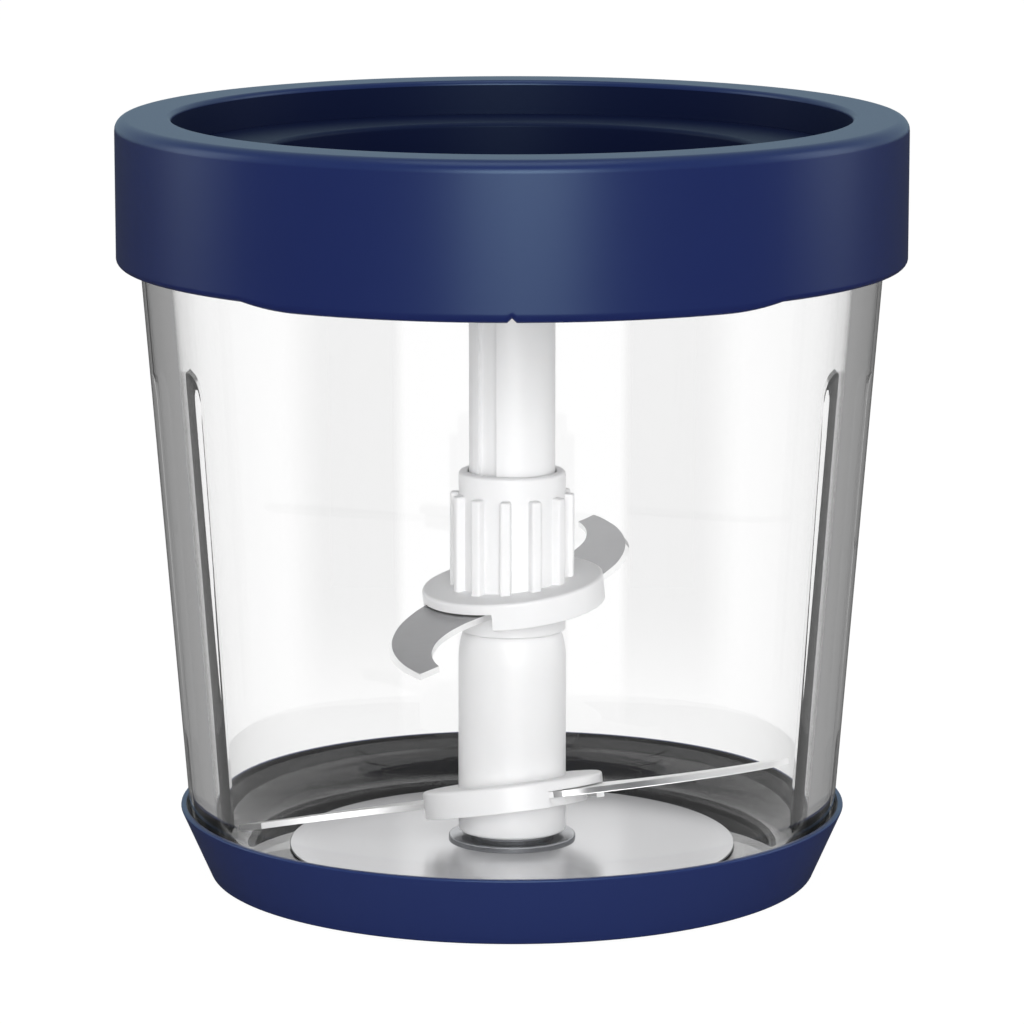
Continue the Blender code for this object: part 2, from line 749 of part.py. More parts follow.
def build_collar(home, cutters, shades, axis):
    inner = collar_inner
    plate = collar_top - collar_top_plate
    seat = deck_top - deck_step + seat_gap
    bead = deck_under - seat_gap
    outline = [(recess_radius + recess_bevel, collar_top)]
    outline += arc(collar_radius - collar_top_round, collar_top - collar_top_round, collar_top_round,
                   90.0, 0.0, 3)
    outline += arc(collar_radius - collar_low_round, collar_under + collar_low_round, collar_low_round,
                   0.0, -90.0, 2)
    outline += [(inner, collar_under), (inner, bead - 2.0 * snap_bead)]
    outline += [(inner - snap_bead, bead - snap_bead)]
    outline += [(inner, bead), (inner, plate), (recess_radius + recess_wall, plate)]
    outline += [(recess_radius + recess_wall, seat), (recess_radius, seat)]
    outline += [(recess_radius, collar_top - recess_bevel)]
    collar = turned("lid_collar", outline, home, fine)
    outer = collar_radius - tab_inset
    low = collar_under - tab_drop
    for side, middle in (("front", -90.0), ("back", 90.0)):
        outline = [(outer, collar_under + tab_root)]
        outline += arc(outer - edge_round, low + edge_round, edge_round, 0.0, -90.0, 2)
        outline += [(inner + tab_inset, low), (inner + tab_inset, collar_under + tab_root)]
        tab = turned("tab_ring_" + side, outline, cutters, fine)
        span = sector("tab_span_" + side, inner - cutter_reach, collar_radius + cutter_reach,
                      middle - tab_span / 2.0, middle + tab_span / 2.0, low - cutter_reach,
                      collar_under + cutter_reach, cutters)
        combine(tab, span, 'INTERSECT')
        combine(collar, tab, 'UNION')
    width = notch_size * math.sqrt(2.0)
    notch = boxes("tab_notch", [(collar_radius, low, -90.0)], (4.0 * collar_wall, width, width), cutters,
                  roll=45.0)
    combine(collar, notch, 'DIFFERENCE')
    finish(place(collar, 0.0, axis), shades["navy"])


def build_lid_inside(home, shades, axis):
    outer = collar_inner - running_gap
    well_outer = well_radius + well_wall
    seal_inner = shaft_radius + seal_gap
    seal_outer = seal_inner + seal_width
    cup_inner = seal_outer + seat_gap
    cup_outer = cup_inner + seal_cup_wall
    cup_under = well_under - seat_gap - seal_height - seat_gap
    bush_inner = shaft_radius + running_gap
    bush_outer = bush_inner + lid_bush_wall
    hole = bush_outer + seat_gap
    boss_top = well_top + lid_boss_height
    ledge = recess_radius - running_gap
    step = deck_top - deck_step
    outline = [(ledge, deck_top), (ledge, step), (outer, step), (outer, deck_under)]
    outline += [(well_outer, deck_under)]
    outline += arc(well_outer - deck_round, well_under + deck_round, deck_round, 0.0, -90.0, 2)
    outline += [(cup_outer, well_under), (cup_outer, cup_under), (cup_inner, cup_under)]
    outline += [(cup_inner, well_under), (hole, well_under), (hole, boss_top)]
    outline += [(hole + lid_boss_wall, boss_top), (hole + lid_boss_wall, well_top)]
    outline += arc(well_radius - deck_round, well_top + deck_round, deck_round, -90.0, 0.0, 2)
    outline += [(well_radius, deck_top - deck_bevel), (well_radius + deck_bevel, deck_top)]
    deck = turned("lid_deck", outline, home, fine)
    finish(place(deck, 0.0, axis), shades["dark_navy"])

    rim = outside_radius(bowl_top) - gasket_inset
    bevel = gasket_bevel
    outline = [(rim, gasket_under + gasket_height), (rim, gasket_under + bevel), (rim - bevel, gasket_under)]
    outline += [(rim - gasket_width + bevel, gasket_under), (rim - gasket_width, gasket_under + bevel)]
    outline += [(rim - gasket_width, gasket_under + gasket_height)]
    gasket = turned("lid_gasket", outline, home, fine)
    finish(place(gasket, 0.0, axis), shades["silicone"])

    flange = boss_top + seat_gap
    outline = [(bush_outer + lid_bush_flange, flange + lid_bush_flange_height)]
    outline += [(bush_outer + lid_bush_flange, flange), (bush_outer, flange)]
    outline += [(bush_outer, well_under + lid_bush_inset), (bush_inner, well_under + lid_bush_inset)]
    outline += [(bush_inner, flange + lid_bush_flange_height)]
    bush = turned("lid_bush", outline, home, medium)
    finish(place(bush, 0.0, axis), shades["white"])

    seal_top = well_under - seat_gap
    seal = ring("shaft_seal", seal_inner, seal_outer, seal_top - seal_height, seal_top, home, medium)
    finish(place(seal, 0.0, axis), shades["silicone"])


def main():
    product, cutters = start_scene()
    shades = {
        "navy": material("navy_plastic", "25305C", 0.38),
        "dark_navy": material("dark_navy_plastic", "171C38", 0.45),
        "rubber": material("grip_rubber", "1C2238", 0.85),
        "glass": material("bowl_glass", "F2F4F4", 0.03, transmission=1.0),
        "polished": material("polished_steel_plate", "C9C9CD", 0.12, metallic=1.0),
        "steel": material("turned_steel", "B4B6B8", 0.25, metallic=1.0),
        "blade": material("ground_blade_steel", "B0B0B0", 0.3, metallic=1.0),
        "bronze": material("sintered_bronze", "A8814E", 0.5, metallic=1.0),
        "silicone": material("silicone_seal", "D8D8D4", 0.6),
        "white": material("white_plastic", "ECEDEE", 0.35),
    }
    base_axis = axis_empty("base_axis", 0.0, product)
    bowl_axis = axis_empty("bowl_axis", bowl_under, product, base_axis)
    lid_axis = axis_empty("lid_axis", collar_under, product, bowl_axis)
    washer_axis = axis_empty("washer_axis", washer_under, product, bowl_axis)
    rotor_axis = axis_empty("rotor_axis", rotor_foot, product, washer_axis)
    upper_axis = axis_empty("upper_axis", shoulder_top, product, rotor_axis)

    build_base(product, cutters, shades, base_axis)
    build_bowl(product, cutters, shades, bowl_axis)
    build_spindle(product, shades, bowl_axis)
    build_thrust_washer(product, shades, washer_axis)
    build_lower_rotor(product, cutters, shades, rotor_axis)
    build_upper_rotor(product, cutters, shades, upper_axis)
    build_collar(product, cutters, shades, lid_axis)
    build_lid_inside(product, shades, lid_axis)

    parts = [item for item in product.objects if item.type == 'MESH']
    print(len(parts), "sub-parts,", sum(len(item.data.polygons) for item in parts), "faces")


main()
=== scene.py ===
# Looks of the food chopper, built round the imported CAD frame. Sizes in the dictionaries are millimetres.
import math

import bmesh
import bpy
from mathutils import Matrix, Vector


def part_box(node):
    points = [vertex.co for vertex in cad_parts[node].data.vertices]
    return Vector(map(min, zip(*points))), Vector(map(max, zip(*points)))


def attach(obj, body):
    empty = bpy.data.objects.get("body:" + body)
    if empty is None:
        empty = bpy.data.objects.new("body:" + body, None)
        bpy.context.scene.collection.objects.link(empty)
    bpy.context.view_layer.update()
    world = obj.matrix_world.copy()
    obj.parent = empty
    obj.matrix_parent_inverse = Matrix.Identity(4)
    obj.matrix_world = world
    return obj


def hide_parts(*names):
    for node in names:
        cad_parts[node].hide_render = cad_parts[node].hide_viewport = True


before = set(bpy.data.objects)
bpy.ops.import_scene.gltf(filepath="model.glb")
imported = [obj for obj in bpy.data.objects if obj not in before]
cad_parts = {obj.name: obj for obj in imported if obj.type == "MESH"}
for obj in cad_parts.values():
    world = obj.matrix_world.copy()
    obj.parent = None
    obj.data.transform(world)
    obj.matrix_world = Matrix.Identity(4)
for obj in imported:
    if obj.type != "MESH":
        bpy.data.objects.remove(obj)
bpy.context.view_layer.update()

mm = 0.001
print("frame loaded with", len(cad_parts), "CAD nodes")

# Steps round the axis and on each kind of curve, degrees per step of a sector, the share of a side that a
# fillet may take, the angle of a sharp edge, and how near points merge
smooth = {"turns": 144, "heel": 14, "fillet": 5, "rim": 6, "rib": 10, "flank": 14, "shoulder": 14,
          "collarFillet": 8, "tab": 10, "bow": 36, "innerBow": 28, "bridge": 24, "block": 3,
          "sector": 2.0, "filletShare": 0.48, "sharpAngle": 32.0, "merge": 0.002}


# Small tools for meshes

def extent(node):  # radius, lowest and highest height of a CAD node
    low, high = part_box(node)
    return high.x / mm, low.z / mm, high.z / mm


def arcPoints(centreR, centreZ, radius, start, end, count):
    points = []
    for i in range(count + 1):
        angle = math.radians(start + (end - start) * i / count)
        points.append((centreR + radius * math.cos(angle), centreZ + radius * math.sin(angle)))
    return points


def filleted(corners, segments=None):  # corners are (r, z) or (r, z, fillet radius)
    segments = segments or smooth["fillet"]
    points = []
    for i, corner in enumerate(corners):
        here = Vector(corner[:2])
        if len(corner) < 3:
            points.append(tuple(here))
            continue
        before = Vector(corners[i - 1][:2]) - here
        after = Vector(corners[(i + 1) % len(corners)][:2]) - here
        half = before.angle(after) / 2.0
        reach = min(corner[2] / math.tan(half), smooth["filletShare"] * before.length,
                    smooth["filletShare"] * after.length)
        radius = reach * math.tan(half)
        centre = here + (before.normalized() + after.normalized()).normalized() * radius / math.sin(half)
        first = here + before.normalized() * reach - centre
        last = here + after.normalized() * reach - centre
        start = math.atan2(first.y, first.x)
        sweep = (math.atan2(last.y, last.x) - start + math.pi) % (2.0 * math.pi) - math.pi
        points += arcPoints(centre.x, centre.y, radius, math.degrees(start),
                            math.degrees(start + sweep), segments)
    return points


def newPiece(name, shape):
    bmesh.ops.remove_doubles(shape, verts=shape.verts, dist=smooth["merge"] * mm)
    bmesh.ops.recalc_face_normals(shape, faces=shape.faces)
    mesh = bpy.data.meshes.new(name)
    shape.to_mesh(mesh)
    shape.free()
    piece = bpy.data.objects.new(name, mesh)
    bpy.context.scene.collection.objects.link(piece)
    return piece


def evenTurns():
    return [360.0 * i / smooth["turns"] for i in range(smooth["turns"])]


def turned(name, outline, turns=None, shift=None, closed=True):
    # Turns an outline about the axis. shift(turn, r, z) may move a point on its way round
    if turns is None:
        turns = evenTurns()
    shape = bmesh.new()
    columns = []
    for turn in turns:
        cos, sin = math.cos(math.radians(turn)), math.sin(math.radians(turn))
        column = []
        for r, z in outline:
            if shift:
                r, z = shift(turn, r, z)
            column.append(shape.verts.new((r * cos * mm, r * sin * mm, z * mm)))
        columns.append(column)
    rows = len(outline) if closed else len(outline) - 1
    for i, column in enumerate(columns):
        following = columns[(i + 1) % len(columns)]
        for j in range(rows):
            k = (j + 1) % len(outline)
            shape.faces.new((column[j], following[j], following[k], column[k]))
    bmesh.ops.dissolve_degenerate(shape, dist=smooth["merge"] * mm, edges=shape.edges)
    return newPiece(name, shape)


def lifted(name, outline, low, high):  # a flat outline in x and y between two heights
    shape = bmesh.new()
    face = shape.faces.new([shape.verts.new((x * mm, y * mm, low * mm)) for x, y in outline])
    top = bmesh.ops.extrude_face_region(shape, geom=[face])
    moved = [part for part in top["geom"] if isinstance(part, bmesh.types.BMVert)]
    bmesh.ops.translate(shape, verts=moved, vec=(0.0, 0.0, (high - low) * mm))
    return newPiece(name, shape)


def sector(name, inner, outer, start, end, low, high):
    count = int(abs(end - start) / smooth["sector"])
    outline = arcPoints(0.0, 0.0, outer, start, end, count)
    outline += arcPoints(0.0, 0.0, inner, end, start, count)
    return lifted(name, outline, low, high)


def roundedBlocks(name, places, size, rounding):
    # One block at each place: radius, height and turn about the axis
    shape = bmesh.new()
    for radius, height, turn in places:
        block = bmesh.ops.create_cube(shape, size=1.0)["verts"]
        bmesh.ops.scale(shape, verts=block, vec=[side * mm for side in size])
        if rounding:
            edges = list({edge for corner in block for edge in corner.link_edges})
            made = bmesh.ops.bevel(shape, geom=edges, offset=rounding * mm, segments=smooth["block"],
                                   profile=0.5, affect='EDGES')
            block = list({corner for face in made["faces"] for corner in face.verts})
        away = Matrix.Translation((radius * mm, 0.0, height * mm))
        spin = Matrix.Rotation(math.radians(turn), 4, 'Z') @ away
        bmesh.ops.transform(shape, matrix=spin, verts=block)
    return newPiece(name, shape)


def cutOrJoin(piece, tool, operation):
    step = piece.modifiers.new(operation, 'BOOLEAN')
    step.operation = operation
    step.solver = 'MANIFOLD'
    step.object = tool
    baked(piece)
    bpy.data.objects.remove(tool, do_unlink=True)
    return piece


def baked(piece):  # modifiers become the mesh
    bpy.context.view_layer.update()
    graph = bpy.context.evaluated_depsgraph_get()
    mesh = bpy.data.meshes.new_from_object(piece.evaluated_get(graph))
    piece.modifiers.clear()
    piece.data = mesh
    return piece


def discPlace(height, tilt, turn):  # tilt is the rise toward +X and +Y in degrees
    rise = [math.tan(math.radians(angle)) for angle in tilt]
    normal = Vector((-rise[0], -rise[1], 1.0)).normalized()
    lean = Vector((0.0, 0.0, 1.0)).rotation_difference(normal).to_matrix().to_4x4()
    return Matrix.Translation((0.0, 0.0, height * mm)) @ lean @ Matrix.Rotation(math.radians(turn), 4, 'Z')


def finishPiece(piece, material, body, replaced, paintedLightFaces=None, sharpAngle=None):
    # The fifth argument is a second material, for faces given painted shade or a painted edge highlight, and
    # a test of a face's radius, height and upward turn
    piece.data.materials.clear()
    piece.data.materials.append(material)
    if paintedLightFaces:
        piece.data.materials.append(paintedLightFaces[0])
        for face in piece.data.polygons:
            middle = face.center / mm
            if paintedLightFaces[1](math.hypot(middle.x, middle.y), middle.z, face.normal.z):
                face.material_index = 1
    piece.data.shade_smooth()
    piece.data.set_sharp_from_angle(angle=math.radians(sharpAngle or smooth["sharpAngle"]))
    normals = piece.modifiers.new("evenNormals", 'WEIGHTED_NORMAL')
    normals.keep_sharp = True
    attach(piece, body)
    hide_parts(*replaced)
    return piece


# Materials

def linearColour(hexCode):
    channels = []
    for i in (0, 2, 4):
        value = int(hexCode[i:i + 2], 16) / 255.0
        channels.append(value / 12.92 if value <= 0.04045 else ((value + 0.055) / 1.055) ** 2.4)
    return (*channels, 1.0)


def addNode(tree, kind, settings=None, links=None):
    # settings go to inputs by name or number, or to properties by name
    node = tree.nodes.new(kind)
    for key, value in (settings or {}).items():
        if isinstance(key, int) or key in node.inputs:
            node.inputs[key].default_value = value
        else:
            setattr(node, key, value)
    for key, source in (links or {}).items():
        tree.links.new(source, node.inputs[key])
    return node


def emptyMaterial(name):
    material = bpy.data.materials.new(name)
    material.use_nodes = True
    material.node_tree.nodes.clear()
    return material, material.node_tree


surfaceInputs = {"ior": "IOR", "specular": "Specular IOR Level", "metallic": "Metallic",
                 "roughness": "Roughness", "transmission": "Transmission Weight", "milk": "Subsurface Weight"}


def newMaterial(name, look, more=None):
    material, tree = emptyMaterial(name)
    settings = {surfaceInputs[key]: value for key, value in look.items() if key in surfaceInputs}
    surface = addNode(tree, "ShaderNodeBsdfPrincipled",
                      {"Base Color": linearColour(look["colour"]), **settings, **(more or {})})
    addNode(tree, "ShaderNodeOutputMaterial", links={"Surface": surface.outputs[0]})
    place = addNode(tree, "ShaderNodeTexCoord")
    return material, tree, surface, place.outputs["Object"]


def noise(tree, place, size, detail, roughness=0.5):
    return addNode(tree, "ShaderNodeTexNoise", {"Scale": 1.0 / (size * mm), "Detail": detail,
                                                "Roughness": roughness}, {"Vector": place}).outputs[0]


def wanderingColour(tree, surface, look, source):
    mix = addNode(tree, "ShaderNodeMix", {"data_type": 'RGBA', 6: linearColour(look["colour"]),
                                          7: linearColour(look["secondColour"])}, {0: source})
    tree.links.new(mix.outputs[2], surface.inputs["Base Color"])


def wanderingGloss(tree, surface, look, source):
    gloss = addNode(tree, "ShaderNodeMapRange", {"To Min": look["roughness"] - look["glossSpread"],
                                                 "To Max": look["roughness"] + look["glossSpread"]},
                    {"Value": source})
    tree.links.new(gloss.outputs[0], surface.inputs["Roughness"])


def relief(tree, surface, look, source):
    bump = addNode(tree, "ShaderNodeBump", {"Strength": look["bump"], "Distance": look["relief"] * mm},
                   {"Height": source})
    tree.links.new(bump.outputs[0], surface.inputs["Normal"])


def mouldedAbs(name, look):
    # Injection-moulded ABS from a spark-eroded mould: broad soft highlights, no clear reflections
    material, tree, surface, place = newMaterial(name, look, {"Specular Tint": linearColour(look["sheen"])})
    wanderingColour(tree, surface, look, noise(tree, place, look["flowMarks"], look["flowDetail"]))
    grain = noise(tree, place, look["grain"], look["grainDetail"], look["grainRoughness"])
    wanderingGloss(tree, surface, look, grain)
    relief(tree, surface, look, grain)
    return material


def pressedGlass(name, look):
    # Soda-lime glass pressed in a mould: clear, thick, with a very faint ripple in its reflections
    material, tree, surface, place = newMaterial(name, look)
    relief(tree, surface, look, noise(tree, place, look["ripple"], look["rippleDetail"]))
    return material


def mouldedPolypropylene(name, look):
    # White polypropylene from a fine-ground mould: milky, soft-edged, with a dull sheen
    material, tree, surface, place = newMaterial(name, look, {"Subsurface Radius": look["milkColour"],
                                                              "Subsurface Scale": look["milkDepth"] * mm})
    wanderingColour(tree, surface, look, noise(tree, place, look["cloud"], look["detail"]))
    grain = noise(tree, place, look["grain"], look["detail"])
    wanderingGloss(tree, surface, look, grain)
    relief(tree, surface, look, grain)
    return material


def spunSteel(name, look):
    # Stainless steel turned or polished on a spindle: fine rings that draw the highlight out
    material, tree, surface, place = newMaterial(name, look)
    flat = addNode(tree, "ShaderNodeVectorMath", {"operation": 'MULTIPLY', 1: (1.0, 1.0, 0.0)}, {0: place})
    reach = addNode(tree, "ShaderNodeVectorMath", {"operation": 'LENGTH'}, {0: flat.outputs[0]})
    split = addNode(tree, "ShaderNodeSeparateXYZ", links={0: place})
    rings = addNode(tree, "ShaderNodeCombineXYZ", links={"X": reach.outputs["Value"],
                                                         "Z": split.outputs["Z"]})
    lines = noise(tree, rings.outputs[0], look["rings"], look["detail"])
    wanderingGloss(tree, surface, look, lines)
    relief(tree, surface, look, lines)
    return material


def groundSteel(name, look):
    # Blade steel ground on a belt: straight grain along the wings, bright where it faces a light
    material, tree, surface, place = newMaterial(name, look)
    along = addNode(tree, "ShaderNodeMapping", {"Rotation": (0.0, 0.0, math.radians(look["grainTurn"])),
                                                "Scale": (look["stretch"], 1.0, 1.0)}, {"Vector": place})
    grain = noise(tree, along.outputs[0], look["grain"], look["detail"])
    wanderingGloss(tree, surface, look, grain)
    relief(tree, surface, look, grain)
    return material


def softMoulding(name, look):
    # Silicone, rubber or sintered bronze: an even fine-pored skin with a dull sheen
    material, tree, surface, place = newMaterial(name, look)
    pores = addNode(tree, "ShaderNodeTexVoronoi", {"Scale": 1.0 / (look["pores"] * mm)}, {"Vector": place})
    wanderingColour(tree, surface, look, pores.outputs[0])
    relief(tree, surface, look, pores.outputs[0])
    return material


# What the materials of one kind share. Reliefs and patterns are in millimetres, and grain and grit are
# drawn coarser than the real 0.05 mm, so that they show at all
mouldSkin = {"ior": 1.5, "flowMarks": 38.0, "flowDetail": 3.0, "grain": 0.35, "grainDetail": 2.0,
             "grainRoughness": 0.7, "glossSpread": 0.04, "bump": 0.12, "relief": 0.03}
spunSkin = {"roughness": 0.2, "glossSpread": 0.06, "detail": 3.0, "relief": 0.01}
groundSkin = {"roughness": 0.34, "glossSpread": 0.085, "stretch": 0.04, "detail": 4.0, "relief": 0.01}
softSkin = {"bump": 0.3, "relief": 0.02}
materials = {
    "navyAbs": mouldedAbs("navyMouldedAbs", {
        **mouldSkin, "colour": "131B4B", "secondColour": "141D4F", "specular": 0.4, "roughness": 0.34,
        "sheen": "C8ECFF"}),
    # The collar's navy ABS again, made lighter as painted light for how light falls on the dish
    "dishPaintedLightNavyAbs": mouldedAbs("dishNavyMouldedAbsPaintedLight", {
        **mouldSkin, "colour": "202A58", "secondColour": "212C5C", "specular": 0.4, "roughness": 0.34,
        "sheen": "C8ECFF"}),
    # A darker navy for the deck; on the collar's recess wall it is painted shade
    "darkNavyAndRecessShadeAbs": mouldedAbs("darkNavyMouldedAbsAndRecessShade", {
        **mouldSkin, "colour": "0C1230", "secondColour": "0E1534", "specular": 0.12, "roughness": 0.46,
        "sheen": "C8ECFF"}),
    "cavityPaintedShadeAbs": mouldedAbs("cavityPaintedShadeMouldedAbs", {  # painted shade: the dish's navy hollow is coloured near-black, so it reads dark through the glass
        **mouldSkin, "colour": "0C0C0E", "secondColour": "101012", "specular": 0.16, "roughness": 0.5,
        "sheen": "FFFFFF"}),
    "bowlGlass": pressedGlass("pressedSodaLimeGlass", {
        "colour": "FFFFFF", "ior": 1.5, "roughness": 0.0, "transmission": 1.0, "ripple": 22.0,
        "rippleDetail": 1.0, "bump": 0.03, "relief": 0.05}),
    "whitePolypropylene": mouldedPolypropylene("whiteMouldedPolypropylene", {
        "colour": "F0F0F0", "secondColour": "EBEBEC", "ior": 1.49, "roughness": 0.38, "glossSpread": 0.05,
        "milk": 0.12, "milkColour": (1.0, 0.95, 0.9), "milkDepth": 1.2, "cloud": 14.0, "grain": 0.3,
        "detail": 2.0, "bump": 0.1, "relief": 0.02}),
    "polishedSteel": spunSteel("polishedStainlessPlate", {
        **spunSkin, "colour": "EEEEF0", "metallic": 0.4, "rings": 0.5, "bump": 0.05}),
    "turnedSteel": spunSteel("turnedStainlessPin", {
        **spunSkin, "colour": "9C9EA2", "metallic": 1.0, "rings": 0.3, "bump": 0.12}),
    "bladeSteel": groundSteel("groundBladeSteel", {
        **groundSkin, "colour": "9C9C9E", "metallic": 1.0, "grain": 0.35, "grainTurn": 20.0, "bump": 0.12}),
    # Near-white steel for the ground edges: their honed finish with a painted highlight
    "edgeSteelPaintedHighlight": groundSteel("groundEdgeSteelPaintedHighlight", {
        **groundSkin, "colour": "F0F0F0", "metallic": 0.9, "grain": 0.25, "grainTurn": 80.0, "bump": 0.08}),
    "gripRubber": softMoulding("mouldedGripRubber", {
        **softSkin, "colour": "1C2238", "secondColour": "232A44", "metallic": 0.0, "roughness": 0.85,
        "pores": 0.6}),
    "silicone": softMoulding("mouldedSilicone", {
        **softSkin, "colour": "D8D8D4", "secondColour": "CFCFCA", "metallic": 0.0, "roughness": 0.55,
        "pores": 0.5}),
    "bronze": softMoulding("sinteredBronze", {
        **softSkin, "colour": "6E5636", "secondColour": "4E3C26", "metallic": 1.0, "roughness": 0.45,
        "pores": 0.25}),
}
print("materials made:", len(materials))


# Glass bowl

bowl = {"taper": 4.48, "wallTop": 5.4, "wallLow": 4.6, "floor": 3.8, "heelOutside": 12.0, "heelInside": 6.5,
        "rimRound": 1.8, "hole": 6.6, "counterbore": 10.5, "counterboreDepth": 1.8, "ribWidth": 6.0,
        "ribDepthTop": 2.8, "ribDepthLow": 2.2, "ribTop": 85.0, "ribNose": 5.6, "ribFlank": 1.5,
        "ribMargin": 0.4, "innerSide": 0.05, "overFloor": 0.02}
slope = math.tan(math.radians(bowl["taper"]))
rimEdge, bowlUnder, bowlTop = extent("glass_bowl")
rimRadius = rimEdge + bowl["rimRound"] * slope
floorTop = bowlUnder + bowl["floor"]
bowlShoulder = bowlTop - bowl["rimRound"]


def outsideRadius(height):
    return rimRadius - (bowlTop - height) * slope


def insideRadius(height):
    share = (height - bowlUnder) / (bowlTop - bowlUnder)
    return outsideRadius(height) - bowl["wallLow"] - (bowl["wallTop"] - bowl["wallLow"]) * share


def heelArc(radiusAt, radius, low, offset=0.0, top=None):
    # The rounded heel from the straight side down to the flat, moved out by an offset
    height = low + radius
    centre = radiusAt(height) - radius / math.cos(math.radians(bowl["taper"]))
    start = -bowl["taper"]
    if top is not None:
        share = (height - top) / (radius + offset)
        start = min(start, -math.degrees(math.asin(max(0.0, min(1.0, share)))))
    return arcPoints(centre, height, radius + offset, start, -90.0, smooth["heel"])


def ribShift(turn, r, z):
    # The inner side swells into a rib at the right and the left
    away = min(abs(turn - side) for side in (0.0, 180.0, 360.0))
    across = abs(r * math.sin(math.radians(away)))
    half = bowl["ribWidth"] / 2.0
    if across >= half or r > insideRadius(z) + bowl["innerSide"] or z < floorTop + bowl["overFloor"]:
        return r, z
    flank = min(1.0, (half - across) / bowl["ribFlank"])
    ribTop = bowlUnder + bowl["ribTop"]
    nose = min(1.0, max(0.0, (z - ribTop) / bowl["ribNose"]))
    share = math.sin(flank * math.pi / 2.0) * math.sqrt(max(0.0, 1.0 - nose * nose))
    low = floorTop + bowl["heelInside"]
    climb = min(1.0, max(0.0, (z - low) / (ribTop - low)))
    lowReach = insideRadius(low) - bowl["ribDepthLow"]
    topReach = insideRadius(ribTop) - bowl["ribDepthTop"]
    reach = lowReach + (topReach - lowReach) * climb
    if z > ribTop:
        reach = insideRadius(z) - bowl["ribDepthTop"]
    return r - max(0.0, r - reach) * share, z


def makeBowl():
    rim = bowl["rimRound"]
    outline = arcPoints(outsideRadius(bowlShoulder) - rim, bowlShoulder, rim, 90.0, 0.0, smooth["rim"])
    outline += heelArc(outsideRadius, bowl["heelOutside"], bowlUnder)
    under = bowlUnder + bowl["counterboreDepth"]
    outline += [(bowl["counterbore"], bowlUnder), (bowl["counterbore"], under), (bowl["hole"], under)]
    outline += [(bowl["hole"], floorTop)]
    outline += reversed(heelArc(insideRadius, bowl["heelInside"], floorTop))
    ribLow = floorTop + bowl["heelInside"]
    ribTop = bowlUnder + bowl["ribTop"]
    climb = [i / smooth["rib"] for i in range(1, smooth["rib"] + 1)]
    heights = [ribLow + (ribTop - ribLow) * share for share in climb]
    heights += [ribTop + bowl["ribNose"] * math.sin(share * math.pi / 2.0) for share in climb]
    outline += [(insideRadius(z), z) for z in heights]
    outline += arcPoints(insideRadius(bowlShoulder) + rim, bowlShoulder, rim, 180.0, 90.0, smooth["rim"])
    # Closer steps where the ribs are
    fineSpan = math.degrees((bowl["ribWidth"] / 2.0 + bowl["ribMargin"]) / insideRadius(ribLow))
    turns = [turn for turn in evenTurns() if min(turn % 180.0, 180.0 - turn % 180.0) > fineSpan]
    for side in (0.0, 180.0):
        turns += [side + fineSpan * (i / smooth["flank"] - 1.0) for i in range(2 * smooth["flank"] + 1)]
    turns = sorted(turn % 360.0 for turn in turns)
    glass = turned("bowlGlassWall", outline, turns, ribShift)
    glass.visible_shadow = False  # light reaches the rotor through the glass
    glass.visible_diffuse = False
    return finishPiece(glass, materials["bowlGlass"], "bowl", ["glass_bowl"])


# Dish under the bowl and its rubber ring

dish = {"floor": 1.3, "lipWall": 1.45, "lipRound": 0.6, "lipEdge": 0.2, "lipDrop": 0.3, "flare": 5.4,
        "gap": 0.3, "ringRadius": 47.5, "ringWidth": 4.0, "ringEdge": 0.3, "groove": 0.5, "lowRound": 0.8,
        "lowStart": -25.0}


def makeDish():
    lipOuter, under, lipTop = extent("base_dish")
    low = lipOuter - dish["flare"]
    lipInner = lipOuter - dish["lipWall"]
    inside = heelArc(outsideRadius, bowl["heelOutside"], bowlUnder, dish["gap"], lipTop - dish["lipDrop"])
    outline = [(0.0, under + dish["floor"])] + list(reversed(inside))
    outline += filleted([(lipInner + dish["gap"], lipTop, dish["lipEdge"]),
                         (lipOuter, lipTop, dish["lipRound"]), (low, under + dish["lowRound"])])[:-1]
    outline += arcPoints(low - dish["lowRound"], under + dish["lowRound"], dish["lowRound"],
                         dish["lowStart"], -90.0, smooth["fillet"])
    for side in (0.5, -0.5):
        edge = dish["ringRadius"] + side * dish["ringWidth"]
        ends = [(edge, under), (edge, under + dish["groove"])]
        outline += ends if side > 0 else ends[::-1]
    outline.append((0.0, under))
    # The hollow's upward faces inside the lip get the near-black material as painted shade
    finishPiece(turned("dishBody", outline, closed=False), materials["dishPaintedLightNavyAbs"], "base",
                ["base_dish"],
                (materials["cavityPaintedShadeAbs"], lambda r, z, up: up > 0.0 and r < lipInner + dish["gap"]))
    ringOuter, ringLow, ringTop = extent("grip_ring")
    ringInner = 2.0 * dish["ringRadius"] - ringOuter
    edge = dish["ringEdge"]
    corners = [(ringOuter, ringTop), (ringOuter, ringLow, edge), (ringInner, ringLow, edge),
               (ringInner, ringTop)]
    finishPiece(turned("dishGripRing", filleted(corners)), materials["gripRubber"], "base",
                ["grip_ring"])


# Plate, spindle and what holds them

plate = {"thickness": 0.45, "flat": 13.6, "hole": 5.7, "topEdge": 0.2, "lowEdge": 0.1}
pin = {"radius": 3.9, "neck": 5.4, "edge": 0.3, "tip": 1.5, "gap": 0.05, "flangeHeight": 1.1, "fillet": 0.4,
       "shankBore": 2.12, "boreTop": 10.0}
screw = {"shank": 2.0, "headHeight": 0.7, "edge": 0.35}


